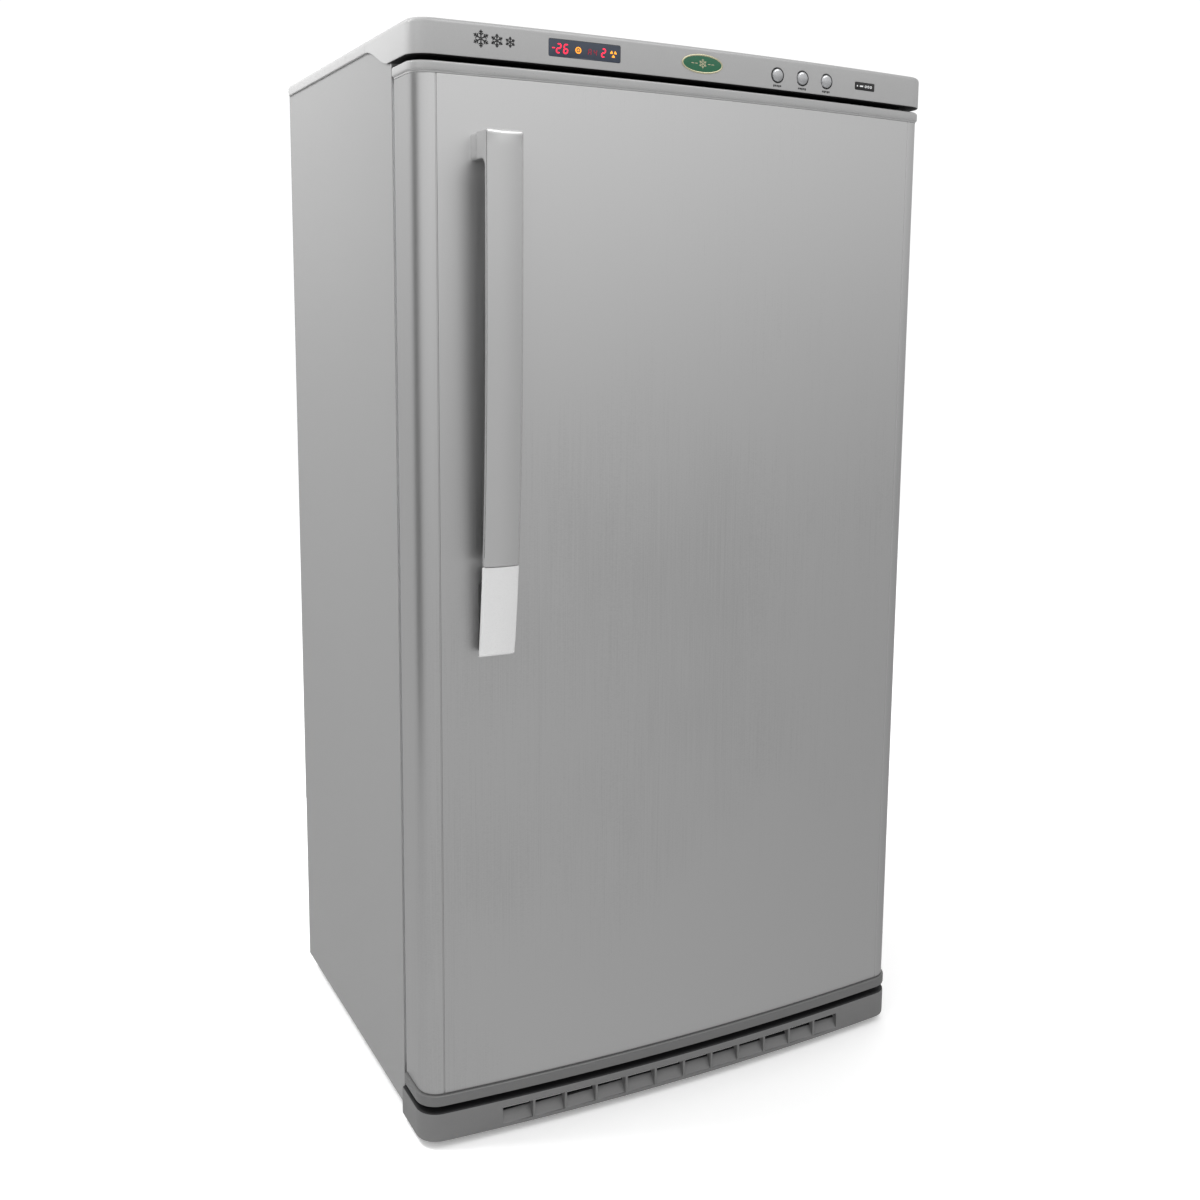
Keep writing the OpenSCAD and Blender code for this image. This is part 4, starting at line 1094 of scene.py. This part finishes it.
# CAD nodes that keep their own shape get their finish and slightly broken edges
KEEP = {
    "cabinet_shell": ("cabinet_paint", 0.45), "base_pan": ("black_metal", 0.3), "inner_liner": ("liner_white", 0.5),
    "foam_insulation": ("foam", 0.0), "machine_room_liner": ("galvanised", 0.2), "control_board": ("board_green", 0.2),
    "top_hinge": ("steel_plain", 0.4), "bottom_hinge": ("steel_plain", 0.4), "hinge_washer": ("bush_plastic", 0.2),
    "roller_axles": ("steel_plain", 0.3), "compressor": ("black_metal", 0.6), "compressor_mounts": ("black_rubber", 0.6),
    "start_relay": ("bush_plastic", 0.8), "refrigerant_pipes": ("copper", 0.0), "condenser_coil": ("black_metal", 0.0),
    "condenser_fan_motor": ("black_metal", 0.4), "drip_tray": ("black_plastic", 0.6), "rear_cover": ("black_plastic", 0.35),
    "rear_screws": ("steel_plain", 0.5), "mains_inlet": ("black_plastic", 0.4), "evaporator": ("finned_aluminium", 0.0),
    "evaporator_cover": ("liner_white", 0.4), "evaporator_fan_motor": ("black_metal", 0.4), "defrost_heater": ("copper", 0.0),
    "drain_gutter": ("bush_plastic", 0.5), "drain_tube": ("black_rubber", 0.2), "foot_left": ("black_plastic", 0.7),
    "foot_right": ("black_plastic", 0.7), "roller_left": ("black_rubber", 0.6), "roller_right": ("black_rubber", 0.6),
    "condenser_fan_blades": ("black_plastic", 0.3), "evaporator_fan_blades": ("bush_plastic", 0.3),
    "door_hinge_bushes": ("bush_plastic", 0.3),
}
for name, (mat, bev) in KEEP.items():
    o = N[name]
    o.data.materials.clear()
    o.data.materials.append(MATS[mat])
    w = o.modifiers.new("weld", "WELD")
    w.merge_threshold = 0.00001
    if bev > 0:
        b = o.modifiers.new("edge", "BEVEL")
        b.width = bev / 1000.0
        b.segments = 2
        b.limit_method = "ANGLE"
        b.angle_limit = math.radians(40)
        b.use_clamp_overlap = True
        b.harden_normals = False

# ------------------------------------------------------------------ stage, light, camera
sc = bpy.context.scene
me = bpy.data.meshes.new("floor")
s = 60.0
me.from_pydata([(-s, -s, 0), (s, -s, 0), (s, s, 0), (-s, s, 0)], [], [(0, 1, 2, 3)])
floor = bpy.data.objects.new("floor", me)
sc.collection.objects.link(floor)
fm = bpy.data.materials.new("floor_paper")
fm.use_nodes = True
fb = fm.node_tree.nodes["Principled BSDF"]
fb.inputs["Base Color"].default_value = (0.97, 0.97, 0.97, 1)
fb.inputs["Roughness"].default_value = 0.9
fb.inputs["Specular IOR Level"].default_value = 0.0
fb.inputs["Emission Color"].default_value = (1, 1, 1, 1)
fb.inputs["Emission Strength"].default_value = 0.21
me.materials.append(fm)
floor.visible_glossy = False

w = bpy.data.worlds.new("studio")
sc.world = w
w.use_nodes = True
nt = w.node_tree
nt.nodes.clear()
L = nt.links.new
tc = nt.nodes.new("ShaderNodeTexCoord")
sp = nt.nodes.new("ShaderNodeSeparateXYZ")
L(tc.outputs["Generated"], sp.inputs["Vector"])
rp = nt.nodes.new("ShaderNodeValToRGB")
rp.color_ramp.interpolation = "EASE"
e = rp.color_ramp.elements
e[0].position, e[0].color = 0.0, (0.50, 0.50, 0.50, 1)
e[1].position, e[1].color = 1.0, (0.98, 0.98, 0.98, 1)
for pos, v in ((0.36, 0.48), (0.48, 0.51), (0.54, 0.62), (0.64, 0.84)):
    k = e.new(pos)
    k.color = (v, v, v, 1)
mr = nt.nodes.new("ShaderNodeMapRange")
mr.inputs["From Min"].default_value = -1
mr.inputs["From Max"].default_value = 1
L(sp.outputs["Z"], mr.inputs["Value"])
L(mr.outputs["Result"], rp.inputs["Fac"])
b1 = nt.nodes.new("ShaderNodeBackground")
mx = nt.nodes.new("ShaderNodeMapRange")
mx.inputs["From Min"].default_value = 0.25
mx.inputs["From Max"].default_value = 0.90
mx.inputs["To Min"].default_value = 0.96
mx.inputs["To Max"].default_value = 0.74
L(sp.outputs["X"], mx.inputs["Value"])
L(mx.outputs["Result"], b1.inputs["Strength"])
L(rp.outputs["Color"], b1.inputs["Color"])
b2 = nt.nodes.new("ShaderNodeBackground")
b2.inputs["Color"].default_value = (1, 1, 1, 1)
b2.inputs["Strength"].default_value = 1.05
lp = nt.nodes.new("ShaderNodeLightPath")
mxs = nt.nodes.new("ShaderNodeMixShader")
out = nt.nodes.new("ShaderNodeOutputWorld")
L(lp.outputs["Is Camera Ray"], mxs.inputs["Fac"])
L(b1.outputs["Background"], mxs.inputs[1])
L(b2.outputs["Background"], mxs.inputs[2])
L(mxs.outputs["Shader"], out.inputs["Surface"])


def area(name, loc, target, size, energy, sy=None):
    d = bpy.data.lights.new(name, "AREA")
    d.shape = "RECTANGLE"
    d.size = size
    d.size_y = sy or size
    d.energy = energy
    o = bpy.data.objects.new(name, d)
    sc.collection.objects.link(o)
    o.location = loc
    o.rotation_euler = (Vector(target) - Vector(loc)).to_track_quat("-Z", "Y").to_euler()
    o.visible_camera = False
    return o


area("key_left", (-2.0, -3.0, 2.6), (0, -0.2, 0.8), 2.6, 15, 2.6).visible_glossy = False
area("top_front", (0.5, -1.6, 3.2), (0.1, -0.2, 0.9), 2.4, 14, 1.4)
area("side_left", (-2.3, 2.6, 2.9), (-0.3, 0.1, 1.1), 2.0, 5, 1.4).visible_glossy = False
area("side_top", (-1.00, 0.28, 1.64), (-0.3, 0.05, 1.12), 0.5, 18, 0.4).visible_glossy = False
area("back_fill", (2.4, 2.4, 2.3), (0, 0.2, 0.6), 2.2, 14, 2.2).visible_glossy = False


def card(name, x0, y0, x1, y1, z0, z1, level):
    """A dark board outside the picture that only reflections see, as a studio uses to draw an edge."""
    cm = bpy.data.meshes.new(name)
    cm.from_pydata([(x0, y0, z0), (x1, y1, z0), (x1, y1, z1), (x0, y0, z1)], [], [(0, 1, 2, 3)])
    o = bpy.data.objects.new(name, cm)
    sc.collection.objects.link(o)
    m = bpy.data.materials.new(name)
    m.use_nodes = True
    b = m.node_tree.nodes["Principled BSDF"]
    b.inputs["Base Color"].default_value = (level, level, level, 1)
    b.inputs["Roughness"].default_value = 1.0
    b.inputs["Specular IOR Level"].default_value = 0.0
    cm.materials.append(m)
    o.visible_camera = False
    o.visible_diffuse = False
    o.visible_shadow = False
    o.visible_transmission = False
    return o


card("board_left", -3.2, -0.9, -3.2, 1.1, -0.5, 3.0, 0.10)

sc.view_settings.view_transform = "Standard"
sc.view_settings.look = "None"

cd = bpy.data.cameras.new("camera")
cam = bpy.data.objects.new("camera", cd)
sc.collection.objects.link(cam)
sc.camera = cam
F, PCX, PCY = 1358.1, 660.0, 516.0
CLOC = (-716.0, -1242.0, 859.0)
YAW, PITCH, ROLL = 28.81, 8.2, 0.84
cd.sensor_width = 36.0
cd.lens = F / 1200 * 36
cd.shift_x = (600 - PCX) / 1200
cd.shift_y = (PCY - 600) / 1200
cd.clip_start = 0.05
cd.clip_end = 60
cam.location = (CLOC[0] / 1000, (CLOC[1] + Y0) / 1000, (CLOC[2] - 6.75) / 1000)
a, p, r = math.radians(YAW), math.radians(PITCH), math.radians(ROLL)
fwd = Vector((math.sin(a) * math.cos(p), math.cos(a) * math.cos(p), -math.sin(p)))
right = fwd.cross(Vector((0, 0, 1))).normalized()
up = right.cross(fwd).normalized()
q = Matrix.Rotation(-r, 3, fwd)
right, up = q @ right, q @ up
cam.matrix_world = Matrix.Translation(cam.location) @ Matrix((right, up, -fwd)).transposed().to_4x4()

bpy.context.view_layer.update()
